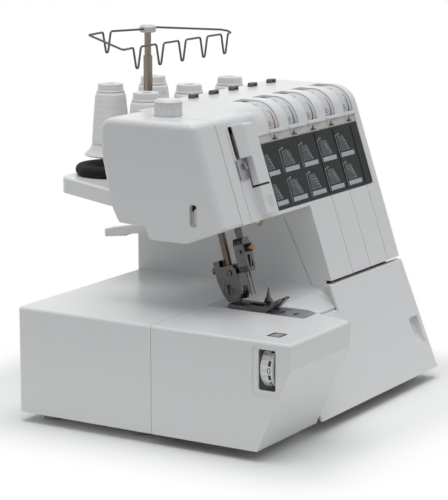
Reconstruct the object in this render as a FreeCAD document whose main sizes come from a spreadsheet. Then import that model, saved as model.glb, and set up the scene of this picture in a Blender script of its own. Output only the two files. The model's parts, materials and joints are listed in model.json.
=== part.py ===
"""Serger overlock machine with extension table, looper cover, spool tray and thread mast.

Machine axes, in millimetres: X runs from the table's left face to the operator's right, Y from the
table's front lip to the back, Z up from the surface that the feet stand on. Every sub-part is then
shifted so that the origin lies under the middle of the whole machine.
"""
import FreeCAD
import Part
import Sketcher
import math
import os

SIZES = {
    # Overall body
    "foot_height": 10.0,
    "body_width": 364.0,
    "bed_back": 303.5,
    "wall": 2.5,
    "seam": 0.5,
    "column_left": 212.0,
    "column_step": 191.0,
    "edge_round": 4.0,
    # Extension table and bed
    "table_width": 112.5,
    "table_depth": 149.0,
    "table_top": 114.0,
    "lip_height": 24.0,
    "underside_run": 35.0,
    "table_flare": 12.0,
    "flare_depth": 42.0,
    "window_front": 16.0,
    "window_width": 18.0,
    "window_height": 38.0,
    "window_middle": 87.5,
    "bezel_depth": 0.8,
    "inset_left": 21.0,
    "inset_front": 23.5,
    "inset_width": 16.0,
    "inset_length": 14.5,
    "inset_depth": 0.6,
    # Upper housing
    "upper_bottom": 126.0,
    "front_foot": 74.0,
    "front_lean": 18.5,
    "dial_top": 303.0,
    "head_top": 297.0,
    "head_round": 8.0,
    "face_round": 6.5,
    "dial_left": 155.0,
    "head_left": 47.0,
    "face_seam": 82.0,
    "split": 205.0,
    "arm_back": 237.0,
    "chin_height": 200.0,
    "jaw_height": 183.5,
    "jaw_front": 141.0,
    "jaw_back": 181.5,
    "nape_height": 195.5,
    "nape_front": 186.5,
    "nape_back": 216.5,
    # Looper cover
    "cover_left": 127.0,
    "cover_bottom": 12.0,
    "cover_foot": 28.6,
    "cover_lean": 22.0,
    "cover_top": 122.5,
    "scoop_top": 97.5,
    "scoop_right": 208.0,
    "hinge_clear": 0.45,
    "hinge_height": 19.0,
    "hinge_rod": 5.0,
    "recess_width": 26.0,
    "recess_low": 38.0,
    "recess_high": 66.0,
    "recess_depth": 9.0,
    # Needle and presser mechanism
    "bar_lean": 16.0,
    "needle_x": 116.0,
    "needle_y": 103.2,
    "presser_y": 123.8,
    "needle_bar": 7.0,
    "presser_bar": 7.3,
    "bush_outer": 12.0,
    "needle_gap": 5.6,
    "needle_shank": 2.0,
    "needle_blade": 1.1,
    "plate_left": 99.0,
    "plate_width": 34.0,
    "plate_front": 43.0,
    "foot_pivot": 9.3,
    "foot_pin": 3.0,
    "lifter_left": 85.0,
    "lifter_width": 14.0,
    "lifter_back": 166.0,
    "lifter_height": 192.6,
    "lifter_pin": 5.0,
    # Drive
    "shaft_back": 225.0,
    "shaft_height": 80.0,
    "shaft_size": 12.0,
    "first_bearing": 150.0,
    "bearing_size": 20.0,
    "motor_back": 272.0,
    "motor_height": 62.0,
    "motor_size": 52.0,
    "motor_length": 62.0,
    "belt_wheel": 60.0,
    "motor_wheel": 22.0,
    "belt_width": 6.0,
    "belt_thick": 2.0,
    "handwheel_size": 80.0,
    "handwheel_reach": 26.0,
    "rocker_back": 200.0,
    "rocker_height": 272.0,
    "rocker_shaft": 8.0,
    # Tension dials
    "dial_first": 186.0,
    "dial_pitch": 38.5,
    "dial_width": 20.0,
    "dial_size": 52.0,
    "dial_axle": 8.0,
    "dial_clear": 0.6,
    "dial_sunk": 1.0,
    "dial_rim": 3.0,
    "window_rise": 1.5,
    "window_back": 15.0,
    "sill_height": 2.4,
    "sill_proud": 1.2,
    # Chart panel and take-up guard
    "panel_left": 152.0,
    "panel_low": 203.0,
    "panel_thick": 1.2,
    "panel_inset": 0.6,
    "strip_height": 8.1,
    "strip_depth": 1.1,
    "thread_slot": 2.4,
    "slit_width": 0.9,
    "slit_depth": 1.3,
    "guard_left": 118.5,
    "guard_right": 139.5,
    "guard_low": 232.0,
    "guard_high": 288.5,
    "guard_proud": 8.0,
    "guard_wing": 10.0,
    "wing_low": 258.5,
    "takeup_slot": 102.5,
    # Pressure knob
    "knob_x": 92.0,
    "knob_y": 188.0,
    "knob_size": 27.0,
    "knob_height": 15.6,
    "knob_stem": 8.0,
    # Stitch length wheel
    "wheel_size": 41.0,
    "wheel_width": 14.0,
    "wheel_pin": 6.0,
    # Spool stand and mast
    "tray_left": 148.0,
    "tray_back": 390.0,
    "tray_thick": 16.5,
    "spool_first": 187.0,
    "spool_pitch": 82.0,
    "spool_front": 276.0,
    "row_pitch": 75.0,
    "row_shift": 46.0,
    "cushion_size": 76.0,
    "cushion_thick": 12.0,
    "cushion_round": 4.5,
    "pin_size": 6.0,
    "pin_length": 62.0,
    "cone_height": 84.5,
    "cone_flange": 56.6,
    "cone_foot": 41.0,
    "cone_shoulder": 31.6,
    "cone_cap": 27.0,
    "cone_bore": 10.0,
    "mast_x": 239.4,
    "mast_y": 308.0,
    "mast_outer": 9.4,
    "mast_inner": 7.0,
    "mast_step": 335.0,
    "mast_top": 359.0,
    "cap_size": 17.5,
    "cap_height": 7.5,
    "wire_size": 2.2,
    "wire_run": 352.0,
    "wire_reach": 38.0,
    "dip_pitch": 42.0,
    "dip_depth": 21.0,
    # Fits
    "slip": 0.3,
    "running": 0.05,
}

PLANES = {"X": "YZ_Plane", "Y": "XZ_Plane", "Z": "XY_Plane"}


class Dim:
    """A size that carries its number and the sheet expression that gives it."""

    def __init__(self, value, text):
        self.value = value
        self.text = text

    def __add__(self, other):
        other = dim(other)
        return Dim(self.value + other.value, f"({self.text} + {other.text})")

    def __radd__(self, other):
        return dim(other) + self

    def __sub__(self, other):
        other = dim(other)
        return Dim(self.value - other.value, f"({self.text} - {other.text})")

    def __rsub__(self, other):
        return dim(other) - self

    def __mul__(self, other):
        other = dim(other)
        return Dim(self.value * other.value, f"({self.text} * {other.text})")

    def __rmul__(self, other):
        return dim(other) * self

    def __truediv__(self, other):
        other = dim(other)
        return Dim(self.value / other.value, f"({self.text} / {other.text})")

    def __neg__(self):
        return dim(0) - self


def dim(item):
    """A plain number becomes a size, and a size stays as it is."""
    if isinstance(item, Dim):
        return item
    return Dim(float(item), f"{float(item):.6f}")


def tan(angle):
    return Dim(math.tan(math.radians(angle.value)), f"tan({angle.text} * 1 deg)")


def cos(angle):
    return Dim(math.cos(math.radians(angle.value)), f"cos({angle.text} * 1 deg)")


def sin(angle):
    return Dim(math.sin(math.radians(angle.value)), f"sin({angle.text} * 1 deg)")


class Sheet:
    """The spreadsheet of driving sizes, read by alias as Dim values."""

    def __init__(self, document, table):
        self.page = document.addObject("Spreadsheet::Sheet", "sizes")
        for row, (name, value) in enumerate(table.items(), start=1):
            self.page.set(f"A{row}", name)
            self.page.set(f"B{row}", str(value))
            self.page.setAlias(f"B{row}", name)
        document.recompute()

    def __getattr__(self, name):
        return Dim(float(self.page.get(name)), f"sizes.{name}")


doc = FreeCAD.newDocument("serger_overlock_machine")
size = Sheet(doc, SIZES)
subparts = []

tray_right = size.body_width + size.handwheel_reach
middle_x = tray_right / 2
middle_y = size.tray_back / 2
table_under = size.table_top - size.wall


def bind(item, path, value):
    """Tie one property to its sheet expression."""
    item.setExpression(path, dim(value).text)


def seat(item, x=0, y=0, z=0, lean=None):
    """Place a sub-part in the machine; lean tilts it back about the X axis."""
    if lean is not None:
        item.Placement = FreeCAD.Placement(FreeCAD.Vector(), FreeCAD.Vector(-1, 0, 0), lean.value)
        bind(item, "Placement.Rotation.Angle", lean)
    bind(item, "Placement.Base.x", x - middle_x)
    bind(item, "Placement.Base.y", y - middle_y)
    bind(item, "Placement.Base.z", z)


def subpart(item, label):
    """Name an object as a sub-part of the machine, to be written as its own file."""
    item.Label = label
    subparts.append(item)
    return item


def new_body(label):
    return subpart(doc.addObject("PartDesign::Body", label), label)


def corner_arc(before, corner, after, radius):
    """Tangent points and centre of a rounded corner, as numbers."""
    to_before = (before - corner).normalize()
    to_after = (after - corner).normalize()
    half = to_before.getAngle(to_after) / 2
    reach = radius / math.tan(half)
    bisector = (to_before + to_after).normalize()
    centre = corner + bisector * (radius / math.sin(half))
    return corner + to_before * reach, corner + to_after * reach, centre


def fix_point(sketch, geometry, position, point):
    """Hold one sketch point at its sheet coordinates."""
    for kind, value in (("DistanceX", point[0]), ("DistanceY", point[1])):
        index = sketch.addConstraint(Sketcher.Constraint(kind, -1, 1, geometry, position, value.value))
        sketch.setExpression(f"Constraints[{index}]", value.text)


def new_sketch(body, axis, offset):
    """A sketch square to an axis of the body, at a distance along that axis."""
    sketch = body.newObject("Sketcher::SketchObject", f"{body.Name}_sketch")
    plane = [item for item in body.Origin.OriginFeatures if item.Role == PLANES[axis]][0]
    sketch.AttachmentSupport = [(plane, "")]
    sketch.MapMode = "FlatFace"
    bind(sketch, "AttachmentOffset.Base.z", offset)
    return sketch


def draw(sketch, points):
    """Draw a closed outline; a point's third number rounds that corner."""
    corners = [(dim(p[0]), dim(p[1])) for p in points]
    radii = [dim(p[2]) if len(p) > 2 else None for p in points]
    places = [FreeCAD.Vector(u.value, v.value, 0) for u, v in corners]
    count = len(points)
    starts = list(places)
    ends = list(places)
    centres = [None] * count
    for i in range(count):
        if radii[i]:
            arc = corner_arc(places[i - 1], places[i], places[(i + 1) % count], radii[i].value)
            ends[i], starts[i], centres[i] = arc
    for i in range(count):
        sketch.addGeometry(Part.LineSegment(starts[i], ends[(i + 1) % count]))
    for i in range(count):
        before = (i - 1) % count
        if not radii[i]:
            sketch.addConstraint(Sketcher.Constraint("Coincident", before, 2, i, 1))
            fix_point(sketch, i, 1, corners[i])
            continue
        first = ends[i] - centres[i]
        last = starts[i] - centres[i]
        turns_left = first.cross(last).z > 0
        low, high = (first, last) if turns_left else (last, first)
        circle = Part.Circle(centres[i], FreeCAD.Vector(0, 0, 1), radii[i].value)
        low_angle = math.atan2(low.y, low.x)
        high_angle = math.atan2(high.y, high.x)
        arc = sketch.addGeometry(Part.ArcOfCircle(circle, low_angle, high_angle))
        point = sketch.addGeometry(Part.Point(places[i]), True)
        into, out = (1, 2) if turns_left else (2, 1)
        sketch.addConstraint(Sketcher.Constraint("PointOnObject", point, 1, before))
        sketch.addConstraint(Sketcher.Constraint("PointOnObject", point, 1, i))
        fix_point(sketch, point, 1, corners[i])
        sketch.addConstraint(Sketcher.Constraint("Tangent", before, 2, arc, into))
        sketch.addConstraint(Sketcher.Constraint("Tangent", arc, out, i, 1))
        index = sketch.addConstraint(Sketcher.Constraint("Radius", arc, radii[i].value))
        sketch.setExpression(f"Constraints[{index}]", radii[i].text)


def draw_circle(sketch, u, v, radius):
    u, v, radius = dim(u), dim(v), dim(radius)
    centre = FreeCAD.Vector(u.value, v.value, 0)
    ring = sketch.addGeometry(Part.Circle(centre, FreeCAD.Vector(0, 0, 1), radius.value))
    fix_point(sketch, ring, 3, (u, v))
    index = sketch.addConstraint(Sketcher.Constraint("Radius", ring, radius.value))
    sketch.setExpression(f"Constraints[{index}]", radius.text)


def rectangle(u0, v0, u1, v1, radius=None):
    """Corner points of an upright rectangle, all corners rounded alike if a radius is given."""
    points = [(u0, v0), (u1, v0), (u1, v1), (u0, v1)]
    if radius is None:
        return points
    return [(u, v, radius) for u, v in points]


def add(body, axis, low, high, *outlines):
    """Pad outlines along an axis from low to high; a three-number tuple is a circle."""
    low, high = dim(low), dim(high)
    sketch = new_sketch(body, axis, -high if axis == "Y" else low)
    return extrude(body, "PartDesign::Pad", sketch, high - low, outlines)


def cut(body, axis, low, high, *outlines):
    """Pocket outlines along an axis from low to high, and check that material went."""
    low, high = dim(low), dim(high)
    before = body.Shape.Volume
    sketch = new_sketch(body, axis, -low if axis == "Y" else high)
    feature = extrude(body, "PartDesign::Pocket", sketch, high - low, outlines)
    if body.Shape.Volume > before - 0.01:
        raise RuntimeError(f"A cut in {body.Label} removed nothing")
    return feature


def extrude(body, kind, sketch, length, outlines):
    for outline in outlines:
        if isinstance(outline, tuple):
            draw_circle(sketch, *outline)
        else:
            draw(sketch, outline)
    feature = body.newObject(kind, f"{body.Name}_feature")
    feature.Profile = sketch
    bind(feature, "Length", length)
    sketch.Visibility = False
    doc.recompute()
    return feature


def turn(body, axis, points):
    """Revolve an outline: (radius, height) about Z, (along, radius) about X, (radius, along) about Y."""
    sketch = new_sketch(body, "Y" if axis == "Z" else "Z", 0)
    draw(sketch, points)
    feature = body.newObject("PartDesign::Revolution", f"{body.Name}_turn")
    feature.Profile = sketch
    feature.ReferenceAxis = (sketch, ["H_Axis" if axis == "X" else "V_Axis"])
    feature.Angle = 360
    doc.recompute()
    return feature


def round_edges(body, radius, chooser):
    """Fillet the edges of the body that the chooser picks."""
    base = body.Tip
    names = [f"Edge{i}" for i, edge in enumerate(body.Shape.Edges, start=1) if chooser(edge.BoundBox)]
    feature = body.newObject("PartDesign::Fillet", f"{body.Name}_round")
    feature.Base = (base, names)
    bind(feature, "Radius", radius)
    doc.recompute()
    return feature


def near(number, target):
    return abs(number - dim(target).value) < 0.01


def group(label, items):
    """Several separate solids that share one file."""
    compound = doc.addObject("Part::Compound", label)
    compound.Links = items
    return subpart(compound, label)


def peg(name, radius, length, x, y, z):
    """An upright round peg standing at a machine position."""
    item = doc.addObject("Part::Cylinder", name)
    bind(item, "Radius", radius)
    bind(item, "Height", length)
    seat(item, x, y, z)
    return item


def loose_body(name):
    """A body that becomes one solid of a group."""
    return doc.addObject("PartDesign::Body", name)


# Lines that several sub-parts share

def front_at(z):
    """Depth of the upper housing's leaning front plane at a height."""
    return size.front_foot + (z - size.upper_bottom) * tan(size.front_lean)


def inner_front_at(z):
    return front_at(z) + size.wall / cos(size.front_lean)


def cover_at(z):
    """Depth of the looper cover's leaning face at a height."""
    return size.cover_foot + (z - size.cover_bottom) * tan(size.cover_lean)


def inner_cover_at(z):
    return cover_at(z) + size.wall / cos(size.cover_lean)


# The cover's hinge rod lies in eyes that just clear the leaf's inner face.
hinge_eye = size.hinge_rod / 2 + size.wall
hinge_back = inner_cover_at(size.hinge_height) + (hinge_eye + size.hinge_clear) / cos(size.cover_lean)

# The roll of the upper front edge is tangent to the front plane and to the top.
roll_radius = size.dial_size / 2 + size.dial_sunk
roll_reach = roll_radius * tan((90 - size.front_lean) / 2)
dial_axis_y = front_at(size.dial_top) + roll_reach
dial_axis_z = size.dial_top - roll_radius

# The windows, the ledge under them and the chart panel step down from the dial axis.
window_low = dial_axis_z + size.window_rise
strip_high = window_low - size.sill_height - size.dial_clear
panel_high = strip_high - size.strip_height
panel_right = size.body_width - 14
panel_seat = (size.panel_thick + size.panel_inset) / cos(size.front_lean)

# The drive lies against the right end wall, and the casting carries the shaft at three places.
belt_left = size.body_width - 18
end_bearing = belt_left - 14
arm_bearing = size.column_left + 38
bearing_spans = ((size.first_bearing, size.first_bearing + 8), (arm_bearing, arm_bearing + 12),
                 (end_bearing, end_bearing + 8))
wheel_x = size.wheel_size / 2 + 0.8
looper_pivots = (dim(95), dim(120))
looper_height = dim(34)
looper_pin = dim(6)
bar_collar = dim(175)
feed_rows = (size.needle_x - 11, size.needle_x - 7)
foot_axis_y = size.presser_y + size.foot_pivot * sin(size.bar_lean)
foot_axis_z = size.table_top + size.foot_pivot * cos(size.bar_lean)
cutter_y = size.jaw_front - 9
cutter_z = size.chin_height + 11
inlet_y = size.bed_back - 25.5
inlet_z = size.foot_height + 19
switch_y = inlet_y - 38
tray_top = size.column_step + size.tray_thick


def base_pan():
    """Pressed bottom plate with the two eyes that carry the looper cover's hinge rod."""
    body = new_body("base_pan")
    low = size.foot_height
    high = low + 3
    left = size.wall
    right = size.body_width - size.wall
    back = size.bed_back - size.wall
    step_x = size.table_width + size.wall
    step_y = size.table_depth + size.seam + size.wall
    front = hinge_back + 10
    plan = [(left, step_y), (step_x, step_y), (step_x, front), (right, front), (right, back), (left, back)]
    add(body, "Z", low, high, plan)
    under = size.hinge_height - hinge_eye
    over = size.hinge_height + hinge_eye
    nose = hinge_back - hinge_eye
    curl = hinge_eye - 0.1
    neck = [(nose, under, curl), (front, under), (front, low), (front + 6, low), (front + 6, over),
            (nose, over, curl)]
    for eye_left in (size.cover_left + 1, size.body_width - 24):
        add(body, "X", eye_left, eye_left + 5, neck)
        cut(body, "X", eye_left, eye_left + 5,
            (hinge_back, size.hinge_height, size.hinge_rod / 2 + size.running))
    seat(body)


def rubber_feet():
    left = 30
    right = size.body_width - 24
    back = size.bed_back - 22
    front = hinge_back + 23
    spots = [(left, size.table_depth + 28), (left, back), (right, back), (right, front), (140, front)]
    feet = [peg(f"rubber_foot_{i}", 11, size.foot_height, x, y, 0) for i, (x, y) in enumerate(spots)]
    group("rubber_feet", feet)


def bed_rear_cover():
    """Rear half of the bed, a box open below and towards the column."""
    body = new_body("bed_rear_cover")
    front = size.table_depth + size.seam
    low = size.foot_height
    plan = [(0, front), (size.column_left, front), (size.column_left, size.bed_back),
            (0, size.bed_back, size.edge_round + 2)]
    add(body, "Z", low, size.table_top, plan)
    top = size.table_top.value
    round_edges(body, 3, lambda box: near(box.ZMin, top) and near(box.ZMax, top)
                and (near(box.XMax, 0) or near(box.YMin, size.bed_back)))
    wall = size.wall
    cut(body, "Z", low, table_under, rectangle(wall, front + wall, size.column_left, size.bed_back - wall))
    cut(body, "Z", low, table_under,
        rectangle(size.table_width + 1, front, size.column_left, front + wall))
    seat(body)


def throat_deck():
    """Work surface between needle plate and column, with its front edge rolled down as a scoop."""
    body = new_body("throat_deck")
    back = size.table_depth + size.seam
    crest = size.presser_y - 36
    lip = inner_cover_at(size.scoop_top) + 2
    drop = size.scoop_top + 1.3
    section = [(back, table_under), (back, size.table_top), (crest, size.table_top, 12),
               (lip, drop + size.wall), (lip, drop), (crest + 2, table_under, 10)]
    add(body, "X", size.plate_left + size.plate_width + size.seam, size.column_left, section)
    seat(body)


def free_arm():
    """Hollow arm under the table, with the pin that carries the stitch length wheel."""
    body = new_body("free_arm")
    front = size.underside_run + 3
    back = size.table_depth - 6
    low = 45
    top = size.table_top - 6
    left = 14
    right = size.table_width + size.wall
    skin = size.wall + 0.5
    add(body, "X", left, right, rectangle(front, low, back, top))
    cut(body, "X", left + skin, right, rectangle(front + skin, low + skin, back - skin, top - skin))
    cut(body, "Z", top - skin, top, rectangle(size.needle_x - 4.5, size.needle_y - 14, right,
                                              size.needle_y + 18))
    pin_start = size.window_front + 0.5
    add(body, "Y", pin_start, front + skin, (wheel_x, size.window_middle, size.wheel_pin / 2))
    seat(body)


def chassis():
    """Casting that carries the shafts, the motor, the arm and the needle and presser guides."""
    body = new_body("chassis")
    floor = size.foot_height + 3
    rail = floor + 12
    left = size.table_width + size.wall
    front = size.shaft_back - 60
    back = size.motor_back + 20
    add(body, "X", left + 4, end_bearing + 10, rectangle(front - 5, floor, back, rail))
    gap_low = looper_height + 11
    post = [(62, floor), (front, floor), (front, table_under), (133, table_under), (133, gap_low),
            (72, gap_low), (72, table_under), (62, table_under)]
    add(body, "X", left, left + 4, post)
    reach = size.bearing_size / 2 + 15
    rest = rectangle(size.shaft_back - reach, rail, size.shaft_back + reach, size.shaft_height + 25)
    add(body, "X", *bearing_spans[0], rest)
    beam_low = 226
    beam_top = 258
    beam_front = dial_axis_y + size.dial_size / 2 + 1.4
    neck = size.shaft_back + 20
    spine = size.arm_back - 5
    crown = size.rocker_height + 13
    step = beam_front + 6
    column = [(front, rail), (neck, rail), (neck, 125), (spine, 140), (spine, crown), (step, crown),
              (step, 240), (front, 240)]
    add(body, "X", *bearing_spans[1], column)
    plate = rectangle(size.shaft_back - reach, rail, back, size.shaft_height + 45)
    add(body, "X", *bearing_spans[2], plate)
    beam = rectangle(beam_front, beam_low, beam_front + 34, beam_top)
    add(body, "X", size.needle_x - 20, arm_bearing, beam)
    head = [(121, 216), (beam_front, 216), (beam_front, 256), (130, 256)]
    add(body, "X", size.needle_x - 18, size.needle_x + 18, head)
    lug_left = size.lifter_left + size.lifter_width + size.slip + 0.2
    jaw_inside = size.jaw_height + size.wall * 1.1
    add(body, "X", lug_left, lug_left + 4.5, rectangle(size.lifter_back - 6, jaw_inside + size.slip,
                                                     size.lifter_back + 6, 218))
    add(body, "X", size.lifter_left - 1, lug_left + 1,
        (size.lifter_back, size.lifter_height, size.lifter_pin / 2))
    lug = size.first_bearing + 10
    add(body, "X", lug, lug + 6, rectangle(size.rocker_back - 9, beam_top, size.rocker_back + 9,
                                           size.rocker_height + 9))
    for low, high in bearing_spans:
        cut(body, "X", low, high, (size.shaft_back, size.shaft_height, size.bearing_size / 2))
    cut(body, "X", *bearing_spans[2], (size.motor_back, size.motor_height, 6))
    for low, high in ((lug, lug + 6), bearing_spans[1]):
        cut(body, "X", low, high,
            (size.rocker_back, size.rocker_height, size.rocker_shaft / 2 + size.running))
    for y in looper_pivots:
        cut(body, "X", left, left + 4, (y, looper_height, looper_pin / 2 + size.running))
    seat(body)
    drill = bar_bores()
    bored = doc.addObject("Part::Cut", "chassis_bored")
    bored.Base = body
    bored.Tool = drill
    subparts.remove(body)
    body.Label = "chassis_casting"
    subpart(bored, "chassis")


def leaning_peg(name, radius, low, high, y):
    """A round peg along a leaning bar axis, between two distances from the needle plate."""
    item = doc.addObject("Part::Cylinder", name)
    bind(item, "Radius", radius)
    bind(item, "Height", high - low)
    seat(item, size.needle_x, y + low * sin(size.bar_lean), size.table_top + low * cos(size.bar_lean),
         size.bar_lean)
    return item


def bar_bores():
    """The two leaning bores through the head of the casting."""
    bores = [leaning_peg(f"bore_{i}", size.bush_outer / 2, dim(90), dim(165), y)
             for i, y in enumerate((size.needle_y, size.presser_y))]
    drill = doc.addObject("Part::MultiFuse", "bar_bores")
    drill.Shapes = bores
    return drill


def plain_bearings():
    """Bronze sleeves of the main shaft, the needle bar and the presser bar."""
    sleeves = []
    for i, (low, high) in enumerate(bearing_spans, start=1):
        sleeve = loose_body(f"shaft_bush_{i}")
        bore = size.shaft_size / 2 + size.running
        outer = size.bearing_size / 2
        turn(sleeve, "X", [(low, bore), (high, bore), (high, outer), (low, outer)])
        seat(sleeve, 0, size.shaft_back, size.shaft_height)
        sleeves.append(sleeve)
    bars = (("needle", size.needle_bar, size.needle_y), ("presser", size.presser_bar, size.presser_y))
    for name, bar, y in bars:
        sleeve = loose_body(f"{name}_bush")
        bore = bar / 2 + size.running
        turn(sleeve, "Z", [(bore, 108), (size.bush_outer / 2, 108), (size.bush_outer / 2, 146), (bore, 146)])
        seat(sleeve, size.needle_x, y, size.table_top, size.bar_lean)
        sleeves.append(sleeve)
    group("plain_bearings", sleeves)


def leaning(low, high, deep, proud):
    """Outline of a band along the leaning front, from deep inside the plane to proud of it."""
    return [(front_at(low) - proud, low), (front_at(low) + deep, low), (front_at(high) + deep, high),
            (front_at(high) - proud, high)]


def arm_section(top, front_round, shrink):
    """Front half of the arm's cross-section; shrink moves every side inwards."""
    front = inner_front_at if shrink.value else front_at
    rise = shrink * 1.1
    chin = size.chin_height + shrink / 2
    points = [(front(chin), chin),
              (size.jaw_front, size.jaw_height + rise, 6),
              (size.jaw_back - shrink / 2, size.jaw_height + rise, 3),
              (size.nape_front - shrink / 2, size.nape_height + rise),
              (size.split, size.nape_height + rise),
              (size.split, top - shrink),
              (front(top - shrink), top - shrink, front_round - shrink)]
    return points


def front_housing():
    """Front shell of arm and column: leaning front, rolled top edge, windows for the five dials."""
    body = new_body("front_housing")
    left = size.face_seam
    right = size.body_width
    none = dim(0)
    column = [(front_at(size.upper_bottom), size.upper_bottom), (size.split, size.upper_bottom),
              (size.split, size.dial_top), (front_at(size.dial_top), size.dial_top, roll_radius)]
    add(body, "X", size.column_left, right, column)
    add(body, "X", size.dial_left, size.column_left, arm_section(size.dial_top, roll_radius, none))
    add(body, "X", left, size.dial_left, arm_section(size.head_top, size.head_round, none))
    end = right.value
    round_edges(body, size.edge_round, lambda box: near(box.XMin, end) and near(box.XMax, end)
                and box.YMin < size.split.value - 1 and box.ZMax > size.upper_bottom.value + 1)
    wall = size.wall
    inside = size.dial_top - wall
    cavity = [(inner_front_at(size.upper_bottom), size.upper_bottom), (size.split, size.upper_bottom),
              (size.split, inside), (inner_front_at(inside), inside, roll_radius - wall)]
    cut(body, "X", size.column_left + wall, right - wall, cavity)
    cut(body, "X", size.dial_left + wall, size.column_left + wall,
        arm_section(size.dial_top, roll_radius, wall))
    cut(body, "X", left, size.dial_left + wall, arm_section(size.head_top, size.head_round, wall))
    apron = rectangle(front_at(size.upper_bottom) + 8, size.table_top, size.split, size.upper_bottom + 2)
    add(body, "X", size.column_left, size.column_left + wall, apron)
    dial_windows(body)
    rib = [(inner_front_at(265) - 1, 265), (dial_axis_y + 15, 265), (dial_axis_y + 15, inside + 1),
           (dial_axis_y - 3, inside + 1)]
    for rib_left in (size.dial_left + 5, right - 8):
        add(body, "X", rib_left, rib_left + 3, rib)
        cut(body, "X", rib_left, rib_left + 3, (dial_axis_y, dial_axis_z, size.dial_axle / 2))
    panel_recess(body)
    seam_line = [(95.1, 118.3), (96, 118.3), (128.7, 184.9), (127.8, 184.9)]
    cut(body, "X", size.column_left, size.column_left + size.slit_depth, seam_line)
    cut(body, "X", size.takeup_slot, size.guard_left - 4,
        leaning(size.wing_low + 1.5, size.guard_high, wall / cos(size.front_lean) + 1, dim(2)))
    bars_left = size.needle_x - 24
    bars_right = size.needle_x + 34
    cut(body, "Z", size.jaw_height - 4, size.chin_height + 4, rectangle(bars_left, 112, bars_right, 160))
    slot_left = size.lifter_left - 1.5
    slot_right = size.lifter_left + size.lifter_width + 2
    cut(body, "Z", size.jaw_height - 2, size.nape_height + 6,
        rectangle(slot_left, size.jaw_back - 3.5, slot_right, size.split))
    cut(body, "Z", size.head_top - wall - 2, size.head_top,
        (size.knob_x, size.knob_y, size.knob_stem / 2 + size.running))
    seat(body)


def dial_windows(body):
    """A window in the roll for each dial, with room behind it and a sill bar under it."""
    for i in range(5):
        middle = size.dial_first + size.dial_pitch * i
        half = size.dial_width / 2 + size.dial_clear
        sill = half + 1.5
        add(body, "X", middle - sill, middle + sill,
            leaning(window_low - size.sill_height, window_low, dim(0.5), size.sill_proud))
        cut(body, "X", middle - half, middle + half,
            (dial_axis_y, dial_axis_z, size.dial_size / 2 + size.dial_clear))
        cut(body, "X", middle - half, middle + half,
            rectangle(dial_axis_y - size.dial_size, window_low, dial_axis_y + size.window_back,
                      size.dial_top + 2))


def thread_slot_x(i):
    """Position of the thread slot beside a column of the chart."""
    return size.dial_first + size.dial_pitch * i - 5


def panel_recess(body):
    """Seat of the chart panel, the ledge above it and the three thread slits that run on below."""
    back = size.wall / cos(size.front_lean)
    add(body, "X", size.panel_left - 3, panel_right + 3,
        leaning(size.panel_low - 3, panel_high, back + 1.5, 0.5 - back))
    cut(body, "X", size.panel_left, panel_right, leaning(size.panel_low, panel_high, panel_seat, dim(2)))
    cut(body, "X", size.panel_left, panel_right,
        leaning(panel_high, strip_high, size.strip_depth, dim(2)))
    half = size.slit_width / 2
    for i in (2, 3, 4):
        x = thread_slot_x(i)
        cut(body, "X", x - half, x + half,
            leaning(size.upper_bottom, size.panel_low, size.slit_depth, dim(2)))


def rear_arm_section(top, shrink):
    """Rear half of the arm's cross-section."""
    rise = shrink * 1.1
    back = size.arm_back - shrink
    return [(size.split, size.nape_height + rise),
            (size.nape_back - shrink / 2, size.nape_height + 1.5 + rise, 4),
            (size.nape_back + 11 - shrink, size.nape_height + 21.5), (back, size.nape_height + 66),
            (back, top - shrink, 12 - shrink), (size.split, top - shrink)]


def rear_housing():
    """Rear shell of arm and column, stepped behind the arm to carry the spool tray."""
    body = new_body("rear_housing")
    low = size.foot_height
    right = size.body_width
    wall = size.wall
    none = dim(0)
    column = [(size.split, low), (size.bed_back, low), (size.bed_back, size.column_step, 5),
              (size.arm_back, size.column_step), (size.arm_back, size.dial_top, 12),
              (size.split, size.dial_top)]
    add(body, "X", size.column_left, right, column)
    add(body, "X", size.dial_left, size.column_left, rear_arm_section(size.dial_top, none))
    add(body, "X", size.face_seam, size.dial_left, rear_arm_section(size.head_top, none))
    end = right.value
    round_edges(body, size.edge_round, lambda box: near(box.XMin, end) and near(box.XMax, end)
                and box.YMax > size.split.value + 1 and box.ZMax > low.value + 1)
    back = size.bed_back - wall
    arm_back = size.arm_back - wall
    cavity = [(size.split, low), (back, low), (back, size.column_step - wall),
              (arm_back, size.column_step - wall), (arm_back, size.dial_top - wall, 12 - wall),
              (size.split, size.dial_top - wall)]
    cut(body, "X", size.column_left + wall, right - wall, cavity)
    cut(body, "X", size.dial_left + wall, size.column_left + wall, rear_arm_section(size.dial_top, wall))
    cut(body, "X", size.face_seam, size.dial_left + wall, rear_arm_section(size.head_top, wall))
    cut(body, "X", size.column_left, size.column_left + wall, rectangle(size.split, low, back, table_under))
    cut(body, "X", right - wall, right, (size.shaft_back, size.shaft_height, size.shaft_size / 2 + 1))
    cut(body, "X", right - wall, right, rectangle(inlet_y - 15, inlet_z - 11, inlet_y + 15, inlet_z + 11, 3))
    cut(body, "X", right - wall, right, rectangle(switch_y - 11, inlet_z - 8, switch_y + 11, inlet_z + 8))
    slot_left = size.lifter_left - 1.5
    slot_right = size.lifter_left + size.lifter_width + 2
    slot = rectangle(size.split, size.nape_height - 2, size.arm_back + 2, 258)
    cut(body, "X", slot_left, slot_right, slot)
    seat(body)


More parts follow.
